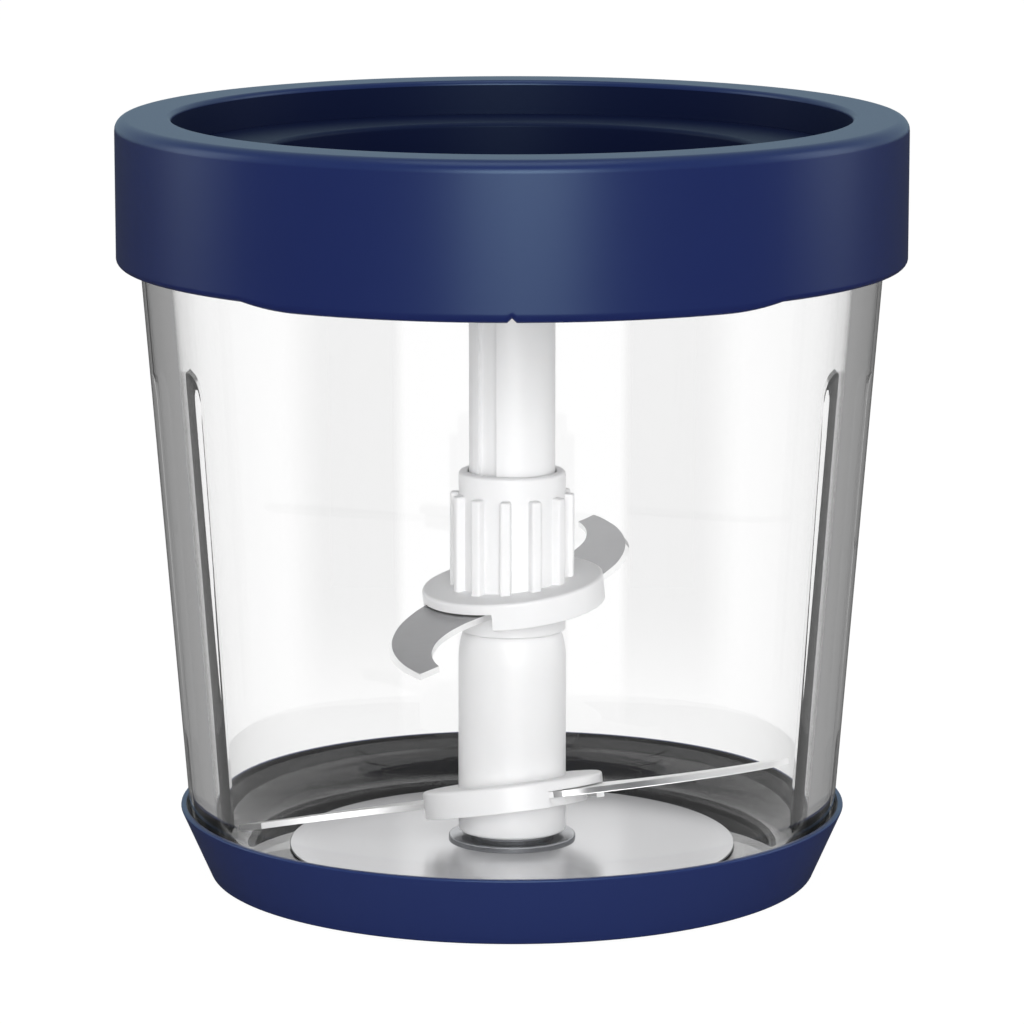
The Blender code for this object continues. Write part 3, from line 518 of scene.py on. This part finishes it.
def makeSpindle():
    plateRadius, plateUnder, plateTop = extent("floor_plate")
    plateOver = plateUnder + plate["thickness"]
    corners = [(plateRadius, plateTop, plate["topEdge"]),
               (plateRadius, plateTop - plate["thickness"], plate["lowEdge"]), (plate["flat"], plateUnder),
               (plate["hole"], plateUnder), (plate["hole"], plateOver), (plate["flat"], plateOver)]
    finishPiece(turned("floorPlateDisc", filleted(corners)), materials["polishedSteel"], "bowl",
                ["floor_plate"])
    flange, low, tip = extent("spindle")
    flangeUnder = plateOver + pin["gap"]
    flangeTop = flangeUnder + pin["flangeHeight"]
    bore = low + pin["boreTop"]
    corners = [(0.0, tip), (pin["radius"], tip, pin["tip"]), (pin["radius"], flangeTop, pin["fillet"]),
               (flange, flangeTop, pin["edge"]), (flange, flangeUnder), (pin["neck"], flangeUnder),
               (pin["neck"], low), (pin["shankBore"], low), (pin["shankBore"], bore), (0.0, bore)]
    spindle = finishPiece(turned("spindlePin", filleted(corners), closed=False), materials["turnedSteel"],
                          "bowl", ["spindle"])
    spindle.visible_glossy = False  # the photograph's floor plate is white in front of the flange
    headRadius, headLow, shankTop = extent("spindle_screw")
    headTop = headLow + screw["headHeight"]
    corners = [(0.0, shankTop), (screw["shank"], shankTop), (screw["shank"], headTop), (headRadius, headTop),
               (headRadius, headLow, screw["edge"]), (0.0, headLow)]
    finishPiece(turned("spindleFixingScrew", filleted(corners), closed=False), materials["turnedSteel"],
                "bowl", ["spindle_screw"])


# Rotor

disc = {"radius": 16.5, "height": 4.9, "plate": 2.1, "wall": 1.4, "edge": 0.6, "lowEdge": 0.15,
        "cutIn": 0.3, "cutOut": 1.0, "cutUp": 0.2}
blade = {"thickness": 1.1, "reach": 51.2, "outerRoot": 194.5, "tip": 251.8, "heel": 254.0, "innerRoot": 252.0,
         "tipCut": 4.6, "outerBow": 6.0, "innerBow": 4.6, "window": 4.0, "gap": 0.05, "rimGap": 0.3,
         "rootInset": 1.0, "bridge": 3.0, "land": 0.12, "holeGap": 0.3, "far": 100.0, "sharpAngle": 20.0}
lower = {"disc": 8.8, "tilt": (7.1, -10.5), "turn": -72.0, "windowExtra": 5.5, "column": 9.8, "shaft": 7.8,
         "shoulder": 31.5, "shoulderRise": 5.8, "land": 0.5, "grooveWidth": 4.0, "grooveDepth": 1.3,
         "grooveTurn": 234.0, "bore": 5.65, "boreTop": 64.5, "boreEdge": 0.2, "socket": 5.2,
         "socketDepth": 14.0, "socketEdge": 0.3, "edge": 0.6, "cupOverlap": 1.6, "grooveOver": 1.0,
         "filletRun": 20.0, "bevel": 1.7, "highlightEdgeTilt": 0.93}
upper = {"disc": 46.4, "tilt": (5.8, 4.2), "sleeve": 9.7, "bore": 8.1, "ribs": 12, "ribWidth": 2.0,
         "ribRadius": 11.3, "ribTurn": -96.5, "ribSunk": 0.6, "ribRound": 0.5, "collar": 4.1, "ribFoot": 3.0,
         "topEdge": 0.7, "lowEdge": 0.2, "boreEdge": 0.3, "seatGap": 0.05, "keyGap": 0.3, "keySunk": 0.4,
         "keyShort": 4.0, "keyRound": 0.2, "trimRadius": 30.0, "trimTop": -1.0, "trimLow": -20.0,
         "bevel": 0.6, "highlightEdgeTilt": 0.6}
rotorFoot, shaftTop = extent("lower_hub")[1:]
sleeveTop = extent("upper_hub")[2]
shoulderTop = rotorFoot + lower["shoulder"] + lower["shoulderRise"]


def bladeOutline(bevel):
    def polar(radius, turn):
        return (radius * math.cos(math.radians(turn)), radius * math.sin(math.radians(turn)))

    def bowed(start, end, bow, count):  # an arc that bulges to the right of its way
        across = math.dist(start, end)
        radius = (across * across / 4.0 + bow * bow) / (2.0 * bow)
        way = ((end[0] - start[0]) / across, (end[1] - start[1]) / across)
        points = []
        for i in range(count + 1):
            along = across * (i / count - 0.5)
            rise = math.copysign(math.sqrt(radius * radius - along * along), radius) - (radius - bow)
            points.append(((start[0] + end[0]) / 2.0 + way[0] * along + way[1] * rise,
                           (start[1] + end[1]) / 2.0 + way[1] * along - way[0] * rise))
        return points

    middle = disc["radius"] - disc["wall"] - blade["rimGap"]
    outline = []
    for half in (0.0, 180.0):
        outline += bowed(polar(disc["radius"], blade["outerRoot"] + half),
                         polar(blade["reach"], blade["tip"] + half), blade["outerBow"] - bevel, smooth["bow"])
        outline += bowed(polar(blade["reach"] - blade["tipCut"], blade["heel"] + half),
                         polar(disc["radius"] - blade["rootInset"], blade["innerRoot"] + half),
                         -blade["innerBow"], smooth["innerBow"])
        outline += arcPoints(0.0, 0.0, middle, blade["innerRoot"] + half + blade["bridge"],
                             blade["outerRoot"] + half + 180.0 - blade["bridge"], smooth["bridge"])
    return outline


def makeBlade(name, place, hole, body, replaced, steel, bevel, highlightEdgeTilt):
    # The last argument is the steepest upward turn of a face that still counts as the ground edge; those
    # faces get the near-white steel, their honed finish with a painted highlight
    shape = bmesh.new()
    drop = disc["plate"] + blade["gap"] + blade["thickness"]
    rings = []
    for inset, height in ((0.0, 0.0), (0.0, blade["land"]), (bevel, blade["thickness"])):
        rings.append([shape.verts.new((x * mm, y * mm, (height - drop) * mm))
                      for x, y in bladeOutline(inset)])
    for low, high in zip(rings, rings[1:]):
        for i in range(len(low)):
            j = (i + 1) % len(low)
            shape.faces.new((low[i], low[j], high[j], high[i]))
    shape.faces.new(list(reversed(rings[0])))
    shape.faces.new(rings[-1])
    piece = newPiece(name, shape)
    piece.data.transform(place)
    core = [(0.0, blade["far"]), (hole, blade["far"]), (hole, 0.0), (0.0, 0.0)]
    cutOrJoin(piece, turned(name + "Hole", core, closed=False), 'DIFFERENCE')
    return finishPiece(piece, materials[steel], body, replaced,
                       (materials["edgeSteelPaintedHighlight"], lambda r, z, up: abs(up) < highlightEdgeTilt), blade["sharpAngle"])


def makeCup(name, inner, place, extra):
    # Tilted disc with a skirt below it, open where the wings come out
    inside = disc["radius"] - disc["wall"]
    corners = [(disc["radius"], 0.0, disc["edge"]), (disc["radius"], -disc["height"], disc["lowEdge"]),
               (inside, -disc["height"], disc["lowEdge"]), (inside, -disc["plate"]),
               (inner, -disc["plate"]), (inner, 0.0)]
    cup = turned(name, filleted(corners))
    for half in (0.0, 180.0):
        start = blade["outerRoot"] + half - blade["window"] - extra
        end = blade["innerRoot"] + half + blade["window"]
        window = sector(name + "Window", inside - disc["cutIn"], disc["radius"] + disc["cutOut"], start, end,
                        -disc["height"] - disc["cutOut"], -disc["plate"] + disc["cutUp"])
        cutOrJoin(cup, window, 'DIFFERENCE')
    cup.data.transform(place)
    return cup


def makeLowerRotor():
    place = discPlace(rotorFoot + lower["disc"], lower["tilt"], lower["turn"])
    land = lower["shaft"] + lower["land"]
    socketFloor = shaftTop - lower["socketDepth"]
    outline = filleted([(0.0, socketFloor), (lower["socket"], socketFloor),
                        (lower["socket"], shaftTop, lower["socketEdge"]),
                        (lower["shaft"], shaftTop, lower["edge"]), (lower["shaft"], shoulderTop)])
    for i in range(smooth["shoulder"] + 1):
        angle = math.radians(90.0 * i / smooth["shoulder"])
        outline.append((land + (lower["column"] - land) * math.sin(angle),
                        shoulderTop - lower["shoulderRise"] * (1.0 - math.cos(angle))))
    boreTop = rotorFoot + lower["boreTop"]
    outline += filleted([(lower["column"], shoulderTop - lower["filletRun"]),
                         (lower["column"], rotorFoot, lower["edge"]),
                         (lower["bore"], rotorFoot, lower["boreEdge"]),
                         (lower["bore"], boreTop), (0.0, boreTop)])[1:]
    hub = turned("lowerHubMoulding", outline, closed=False)
    cup = makeCup("lowerCup", lower["column"] - lower["cupOverlap"], place, lower["windowExtra"])
    cutOrJoin(hub, cup, 'UNION')
    length = shaftTop + lower["grooveOver"] - shoulderTop
    middle = shoulderTop + length / 2.0
    places = [(lower["shaft"], middle, lower["grooveTurn"] + side) for side in (0.0, 180.0)]
    size = (2.0 * lower["grooveDepth"], lower["grooveWidth"], length)
    grooves = roundedBlocks("shaftGrooves", places, size, 0.0)
    cutOrJoin(hub, grooves, 'DIFFERENCE')
    finishPiece(hub, materials["whitePolypropylene"], "rotor", ["lower_hub"])
    # The lower blade is all in the near-white edge steel, as painted light for its bright look
    sheet = makeBlade("lowerBladeSheet", place, lower["column"] + blade["holeGap"], "rotor",
                      ["lower_blade"], "edgeSteelPaintedHighlight", lower["bevel"], lower["highlightEdgeTilt"])
    sheet.visible_glossy = False  # the photograph's floor plate doesn't mirror the blade


def makeUpperRotor():
    place = discPlace(rotorFoot + upper["disc"], upper["tilt"], 0.0)
    sleeveLow = shoulderTop + upper["seatGap"]
    corners = [(upper["sleeve"], sleeveTop, upper["topEdge"]), (upper["sleeve"], sleeveLow, upper["lowEdge"]),
               (upper["bore"], sleeveLow), (upper["bore"], sleeveTop, upper["boreEdge"])]
    hub = turned("upperHubMoulding", filleted(corners))
    cutOrJoin(hub, makeCup("upperCup", (upper["bore"] + upper["sleeve"]) / 2.0, place, 0.0), 'UNION')
    ribLow = rotorFoot + upper["disc"] - upper["ribFoot"]
    ribHigh = sleeveTop - upper["collar"]
    inner = upper["sleeve"] - upper["ribSunk"]
    places = [((inner + upper["ribRadius"]) / 2.0, (ribLow + ribHigh) / 2.0,
               upper["ribTurn"] + 360.0 * i / upper["ribs"]) for i in range(upper["ribs"])]
    size = (upper["ribRadius"] - inner, upper["ribWidth"], ribHigh - ribLow)
    ribs = roundedBlocks("gripRibs", places, size, upper["ribRound"])
    trim = [(0.0, upper["trimTop"]), (upper["trimRadius"], upper["trimTop"]),
            (upper["trimRadius"], upper["trimLow"]), (0.0, upper["trimLow"])]
    under = turned("underDisc", trim, closed=False)  # the ribs end inside the tilted disc
    under.data.transform(place)
    cutOrJoin(ribs, under, 'DIFFERENCE')
    cutOrJoin(hub, ribs, 'UNION')
    keyInner = lower["shaft"] - lower["grooveDepth"] + upper["keyGap"]
    keyOuter = upper["bore"] + upper["keySunk"]
    places = [((keyInner + keyOuter) / 2.0, (sleeveLow + sleeveTop) / 2.0, lower["grooveTurn"] + side)
              for side in (0.0, 180.0)]
    size = (keyOuter - keyInner, lower["grooveWidth"] - 2.0 * upper["keyGap"],
            sleeveTop - sleeveLow - upper["keyShort"])
    keys = roundedBlocks("boreKeys", places, size, upper["keyRound"])
    cutOrJoin(hub, keys, 'UNION')
    finishPiece(hub, materials["whitePolypropylene"], "upper_rotor", ["upper_hub"])
    sheet = makeBlade("upperBladeSheet", place, upper["sleeve"] + blade["holeGap"], "upper_rotor",
                      ["upper_blade"], "bladeSteel", upper["bevel"], upper["highlightEdgeTilt"])
    sheet.visible_glossy = False  # its mirror image would draw a line in the glass


# Lid

lid = {"wall": 2.5, "topPlate": 2.6, "topRound": 2.2, "lowRound": 1.3, "recess": 60.9, "recessWall": 2.4,
       "bead": 0.6, "tabSpan": 82.0, "tabDrop": 1.1, "tabEnd": 10.0, "notch": 0.8, "notchDepth": 0.75,
       "well": 45.3, "wellWall": 2.3, "wellDepth": 8.4, "wellFloor": 2.2, "deckFlange": 3.0, "step": 0.8,
       "bossHeight": 2.4, "bossWall": 2.6, "bushWall": 1.7, "tabRise": 3.0, "innerEdge": 0.4, "corner": 0.5,
       "lipEdge": 0.9, "smallEdge": 0.3, "seatGap": 0.05, "deckGap": 0.3, "wellRound": 1.5, "bossFoot": 0.8,
       "sealWall": 1.85, "sealEdge": 0.2, "gasketWidth": 5.0, "gasketEdge": 0.6, "bushGap": 0.3,
       "bushLift": 0.2, "recessShadeReach": 0.1, "recessShadeDrop": 1.0}
collarOuter, tabLow, collarTop = extent("lid_collar")
collarUnder = tabLow + lid["tabDrop"]


def tabShift(turn, r, z):
    # The skirt's edge hangs lower at the front and the back, with a small notch in front
    weight = min(1.0, max(0.0, (collarUnder + lid["tabRise"] - z) / lid["tabRise"]))
    if r < lid["recess"] + lid["recessWall"] or weight == 0.0:
        return r, z
    fromFront = abs((turn + 90.0 + 180.0) % 360.0 - 180.0)
    fromMiddle = min(fromFront, 180.0 - fromFront)
    share = min(1.0, max(0.0, (lid["tabSpan"] / 2.0 - fromMiddle) / lid["tabEnd"]))
    share = 1.0 - (1.0 - share) ** 2
    across = math.radians(fromFront) * collarOuter
    cut = max(0.0, 1.0 - across / lid["notch"]) * lid["notchDepth"]
    return r, z - (lid["tabDrop"] * share - cut) * weight


def makeCollar():
    outer, under, top = collarOuter, collarUnder, collarTop
    inner = outer - lid["wall"]
    recessOuter = lid["recess"] + lid["recessWall"]
    ledge = extent("lid_deck")[2]
    beadTop = ledge - lid["deckFlange"] - lid["seatGap"]
    bead = lid["bead"]
    topUnder = top - lid["topPlate"]
    foot = ledge - lid["step"] + lid["seatGap"]
    corners = [(lid["recess"], top, lid["lipEdge"]), (outer, top, lid["topRound"]),
               (outer, under, lid["lowRound"]), (inner, under, lid["innerEdge"]),
               (inner, beadTop - 2.0 * bead), (inner - bead, beadTop - bead), (inner, beadTop),
               (inner, topUnder, lid["corner"]), (recessOuter, topUnder, lid["corner"]),
               (recessOuter, foot), (lid["recess"], foot)]
    outline = filleted(corners, smooth["collarFillet"])
    # Closer steps at the tabs' ends and at the notch
    turns = evenTurns()
    for middle in (90.0, 270.0):
        for side in (-1.0, 1.0):
            end = middle + side * lid["tabSpan"] / 2.0
            turns += [end - side * lid["tabEnd"] * i / smooth["tab"] for i in range(smooth["tab"] + 1)]
    turns += [270.0 + i * math.degrees(lid["notch"] / outer) / 4.0 for i in range(-4, 5)]
    turns = sorted(set(round(turn % 360.0, 4) for turn in turns))
    # The recess's inner wall takes the darker navy as painted shade
    finishPiece(turned("collarShell", outline, turns, tabShift), materials["navyAbs"], "lid",
                ["lid_collar"], (materials["darkNavyAndRecessShadeAbs"], lambda r, z, up:
                                 r < lid["recess"] + lid["recessShadeReach"] and z < top - lid["recessShadeDrop"]))


def makeDeck():
    outer, low, top = extent("lid_deck")
    under = top - lid["deckFlange"]
    wellTop = top - lid["wellDepth"]
    wellUnder = wellTop - lid["wellFloor"]
    wellOuter = lid["well"] + lid["wellWall"]
    raised = lid["recess"] - lid["deckGap"]
    edge = lid["smallEdge"]
    bushOuter, _, bushTop = extent("lid_bush")
    hole = lower["shaft"] + lid["bushGap"] + lid["bushWall"] + lid["seatGap"]
    sealOuter = extent("shaft_seal")[0]
    sealHole = sealOuter + lid["seatGap"]
    sealRim = sealOuter + lid["sealWall"]
    boss = wellTop + lid["bossHeight"]
    bossOuter = hole + lid["bossWall"]
    corners = [(raised, top, edge), (raised, top - lid["step"]), (outer, top - lid["step"], edge),
               (outer, under, edge), (wellOuter, under, lid["corner"]),
               (wellOuter, wellUnder, lid["wellRound"]), (sealRim, wellUnder), (sealRim, low, edge),
               (sealHole, low, lid["sealEdge"]), (sealHole, wellUnder), (hole, wellUnder), (hole, boss),
               (bossOuter, boss, lid["corner"]), (bossOuter, wellTop, lid["bossFoot"]),
               (lid["well"], wellTop, lid["wellRound"]), (lid["well"], top, lid["lipEdge"])]
    finishPiece(turned("deckMoulding", filleted(corners)), materials["darkNavyAndRecessShadeAbs"], "lid",
                ["lid_deck"])
    gasketOuter, gasketLow, gasketTop = extent("lid_gasket")
    gasketInner = gasketOuter - lid["gasketWidth"]
    corners = [(gasketOuter, gasketTop), (gasketOuter, gasketLow, lid["gasketEdge"]),
               (gasketInner, gasketLow, lid["gasketEdge"]), (gasketInner, gasketTop)]
    finishPiece(turned("lidGasketRing", filleted(corners)), materials["silicone"], "lid",
                ["lid_gasket"])
    inner = lower["shaft"] + lid["bushGap"]
    flange = boss + lid["seatGap"]
    bushLow = wellUnder + lid["bushLift"]
    corners = [(bushOuter, bushTop, edge), (bushOuter, flange), (hole - lid["seatGap"], flange),
               (hole - lid["seatGap"], bushLow), (inner, bushLow), (inner, bushTop, edge)]
    finishPiece(turned("lidBushRing", filleted(corners)), materials["whitePolypropylene"], "lid",
                ["lid_bush"])


makeBowl()
print("bowl done")
makeDish()
makeSpindle()
print("dish and spindle done")
makeLowerRotor()
makeUpperRotor()
print("rotor done")
makeCollar()
makeDeck()
print("lid done")


# CAD nodes whose shape is right get their finish

finishes = {
    "spindle_grommet": "silicone", "under_gasket": "silicone", "shaft_seal": "silicone",
    "under_washer": "turnedSteel", "drive_socket": "turnedSteel", "thrust_washer": "turnedSteel",
    "hub_bush_lower": "bronze", "hub_bush_upper": "bronze", "lower_blade_plate": "whitePolypropylene",
    "upper_blade_plate": "whitePolypropylene",
}
for nodeName, finish in finishes.items():
    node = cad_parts[nodeName]
    node.material_slots[0].link = 'OBJECT'
    node.material_slots[0].material = materials[finish]
print("CAD nodes finished:", len(finishes))


# Studio: pale floor, soft lamps, white seen by the camera and through the glass

studio = {"floorSize": 6000.0, "floorColour": "F4F4F4", "glowShare": 0.92, "throughGlass": 1.1,
          "direct": 1.06, "throughBowl": 1.2, "bowlWalls": 3.5, "floorMirrored": 0.03, "floorInWall": 0.35,
          "worldDiffuse": 0.36, "worldMirrored": 0.62, "worldInWall": 0.35, "mirroredTint": "D9F8FF",
          "floorDrop": 0.2}


def backdropLevel(tree, path, mirrored, inWall):
    # White to the camera and through the glass, dimmer in mirrors, and between the two for light that
    # has bounced inside the glass wall. What the steel mirrors through the bowl is nearly white
    through = addNode(tree, "ShaderNodeMath", {"operation": 'MINIMUM', 1: 1.0},
                      {0: path.outputs["Transmission Depth"]})
    mirror = addNode(tree, "ShaderNodeMath", {"operation": 'MINIMUM', 1: 1.0},
                     {0: path.outputs["Glossy Depth"]})
    deep = addNode(tree, "ShaderNodeMath", {"operation": 'GREATER_THAN', 1: studio["bowlWalls"]},
                   {0: path.outputs["Transmission Depth"]})
    once = addNode(tree, "ShaderNodeMath", {"operation": 'LESS_THAN', 1: 1.5},
                   {0: path.outputs["Glossy Depth"]})
    deep = addNode(tree, "ShaderNodeMath", {"operation": 'MULTIPLY'},
                   {0: deep.outputs[0], 1: once.outputs[0]})
    direct = addNode(tree, "ShaderNodeMix",
                     {"data_type": 'FLOAT', 2: studio["direct"], 3: studio["throughGlass"]},
                     {0: through.outputs[0]})
    bounced = addNode(tree, "ShaderNodeMix", {"data_type": 'FLOAT', 2: mirrored, 3: inWall},
                      {0: through.outputs[0]})
    bounced = addNode(tree, "ShaderNodeMix", {"data_type": 'FLOAT', 3: studio["throughBowl"]},
                      {0: deep.outputs[0], 2: bounced.outputs[0]})
    level = addNode(tree, "ShaderNodeMix", {"data_type": 'FLOAT'},
                    {0: mirror.outputs[0], 2: direct.outputs[0], 3: bounced.outputs[0]})
    return level.outputs[0]


def seenDirectly(tree, path):  # 1 for rays of the camera, of mirrors and through glass
    seen = addNode(tree, "ShaderNodeMath", {"operation": 'MAXIMUM'},
                   {0: path.outputs["Is Camera Ray"], 1: path.outputs["Is Glossy Ray"]})
    seen = addNode(tree, "ShaderNodeMath", {"operation": 'MAXIMUM'},
                   {0: seen.outputs[0], 1: path.outputs["Is Transmission Ray"]})
    return seen.outputs[0]


def makeFloor():
    shape = bmesh.new()
    bmesh.ops.create_grid(shape, x_segments=8, y_segments=8, size=studio["floorSize"] * mm / 2.0)
    floor = newPiece("studioFloor", shape)
    material, tree = emptyMaterial("paleStudioFloor")
    path = addNode(tree, "ShaderNodeLightPath")
    paint = addNode(tree, "ShaderNodeBsdfDiffuse", {"Color": linearColour(studio["floorColour"])})
    seen = seenDirectly(tree, path)
    level = backdropLevel(tree, path, studio["floorMirrored"], studio["floorInWall"])
    glow = addNode(tree, "ShaderNodeEmission", {"Color": (1.0, 1.0, 1.0, 1.0)}, {"Strength": level})
    share = addNode(tree, "ShaderNodeMath", {"operation": 'MULTIPLY', 1: studio["glowShare"]},
                    {0: seen})
    mixed = addNode(tree, "ShaderNodeMixShader", links={0: share.outputs[0], 1: paint.outputs[0],
                                                        2: glow.outputs[0]})
    addNode(tree, "ShaderNodeOutputMaterial", links={"Surface": mixed.outputs[0]})
    floor.data.materials.append(material)
    floor.location.z = -studio["floorDrop"] * mm


cards = {"middle": 37.9, "width": 30.2, "low": 0.0, "high": 118.0, "behind": 92.0, "outerFade": 0.42,
         "innerFade": 0.9, "lowFade": 0.3, "level": 0.92}


def makeCards():
    # Two faint grey cards behind the bowl, seen only through its glass: painted shade, as soft grey bands in
    # the glass walls
    material, tree = emptyMaterial("paintedShadeCard")
    place = addNode(tree, "ShaderNodeTexCoord")
    across = addNode(tree, "ShaderNodeSeparateXYZ", links={0: place.outputs["Generated"]})
    fade = None
    for axis, start, end in (("X", 0.0, cards["outerFade"]), ("X", 1.0, cards["innerFade"]),
                             ("Z", 0.0, cards["lowFade"])):
        step = addNode(tree, "ShaderNodeMapRange", {"interpolation_type": 'SMOOTHSTEP', "From Min": start,
                                                    "From Max": end}, {"Value": across.outputs[axis]})
        if fade is None:
            fade = step
        else:
            fade = addNode(tree, "ShaderNodeMath", {"operation": 'MULTIPLY'},
                           {0: fade.outputs[0], 1: step.outputs[0]})
    glow = addNode(tree, "ShaderNodeEmission", {"Strength": cards["level"]})
    clear = addNode(tree, "ShaderNodeBsdfTransparent")
    mixed = addNode(tree, "ShaderNodeMixShader", links={0: fade.outputs[0], 1: clear.outputs[0],
                                                        2: glow.outputs[0]})
    addNode(tree, "ShaderNodeOutputMaterial", links={"Surface": mixed.outputs[0]})
    half, height = cards["width"] / 2.0, cards["high"] - cards["low"]
    corners = [(-half, 0.0), (half, 0.0), (half, height), (-half, height)]
    for name, side in (("paintedShadeCardLeft", 1.0), ("paintedShadeCardRight", -1.0)):
        shape = bmesh.new()
        shape.faces.new([shape.verts.new((x * mm, 0.0, z * mm)) for x, z in corners])
        card = newPiece(name, shape)
        card.data.materials.append(material)
        card.location = (-side * cards["middle"] * mm, cards["behind"] * mm, cards["low"] * mm)
        card.scale.x = side
        card.visible_camera = False
        card.visible_diffuse = False
        card.visible_glossy = False
        card.visible_shadow = False


def makeWorld():
    world = bpy.data.worlds.new("paleStudio")
    bpy.context.scene.world = world
    world.use_nodes = True
    tree = world.node_tree
    tree.nodes.clear()
    path = addNode(tree, "ShaderNodeLightPath")
    seen = seenDirectly(tree, path)
    level = backdropLevel(tree, path, studio["worldMirrored"], studio["worldInWall"])
    strength = addNode(tree, "ShaderNodeMix", {"data_type": 'FLOAT', 2: studio["worldDiffuse"]},
                       {0: seen, 3: level})
    outside = addNode(tree, "ShaderNodeMath", {"operation": 'COMPARE', 1: 0.0, 2: 0.5},
                      {0: path.outputs["Transmission Depth"]})
    tinted = addNode(tree, "ShaderNodeMath", {"operation": 'MULTIPLY'},
                     {0: outside.outputs[0], 1: path.outputs["Is Glossy Ray"]})
    tint = addNode(tree, "ShaderNodeMix", {"data_type": 'RGBA', 6: (1.0, 1.0, 1.0, 1.0),
                                           7: linearColour(studio["mirroredTint"])}, {0: tinted.outputs[0]})
    glow = addNode(tree, "ShaderNodeBackground", links={"Color": tint.outputs[2],
                                                        "Strength": strength.outputs[0]})
    addNode(tree, "ShaderNodeOutputWorld", links={"Surface": glow.outputs[0]})


lamps = {  # place, width, height and watts of each soft box, all aimed at the bowl
    "frontKey": ((90.0, -1600.0, 280.0), 900.0, 1100.0, 27.0),
    "sideLeft": ((-1380.0, 250.0, 300.0), 560.0, 1300.0, 5.0),
    "sideRight": ((1380.0, 250.0, 300.0), 560.0, 1300.0, 5.0),
    "overhead": ((0.0, -200.0, 1600.0), 900.0, 900.0, 6.0),
}
lampAim = (0.0, 0.0, 70.0)


def makeLamps():
    for name, (place, width, height, watts) in lamps.items():
        light = bpy.data.lights.new(name, 'AREA')
        light.shape = 'RECTANGLE'
        light.size = width * mm
        light.size_y = height * mm
        light.energy = watts
        lamp = bpy.data.objects.new(name, light)
        bpy.context.scene.collection.objects.link(lamp)
        lamp.location = Vector(place) * mm
        lamp.visible_camera = False
        lamp.visible_transmission = False
        aim = Vector(lampAim) * mm - lamp.location
        lamp.rotation_euler = aim.to_track_quat('-Z', 'Y').to_euler()


shot = {"lens": 184.0, "sensor": 36.0, "aim": 66.4, "distance": 949.0, "elevation": 10.5}


def makeCamera():
    data = bpy.data.cameras.new("photoCamera")
    data.lens = shot["lens"]
    data.sensor_width = shot["sensor"]
    camera = bpy.data.objects.new("photoCamera", data)
    bpy.context.scene.collection.objects.link(camera)
    angle = math.radians(shot["elevation"])
    camera.location = Vector((0.0, -math.cos(angle) * shot["distance"],
                              shot["aim"] + math.sin(angle) * shot["distance"])) * mm
    camera.rotation_euler = (math.pi / 2.0 - angle, 0.0, 0.0)
    bpy.context.scene.camera = camera


makeFloor()
makeCards()
makeWorld()
makeLamps()
makeCamera()
bpy.context.scene.view_settings.view_transform = 'Standard'
print("studio done")
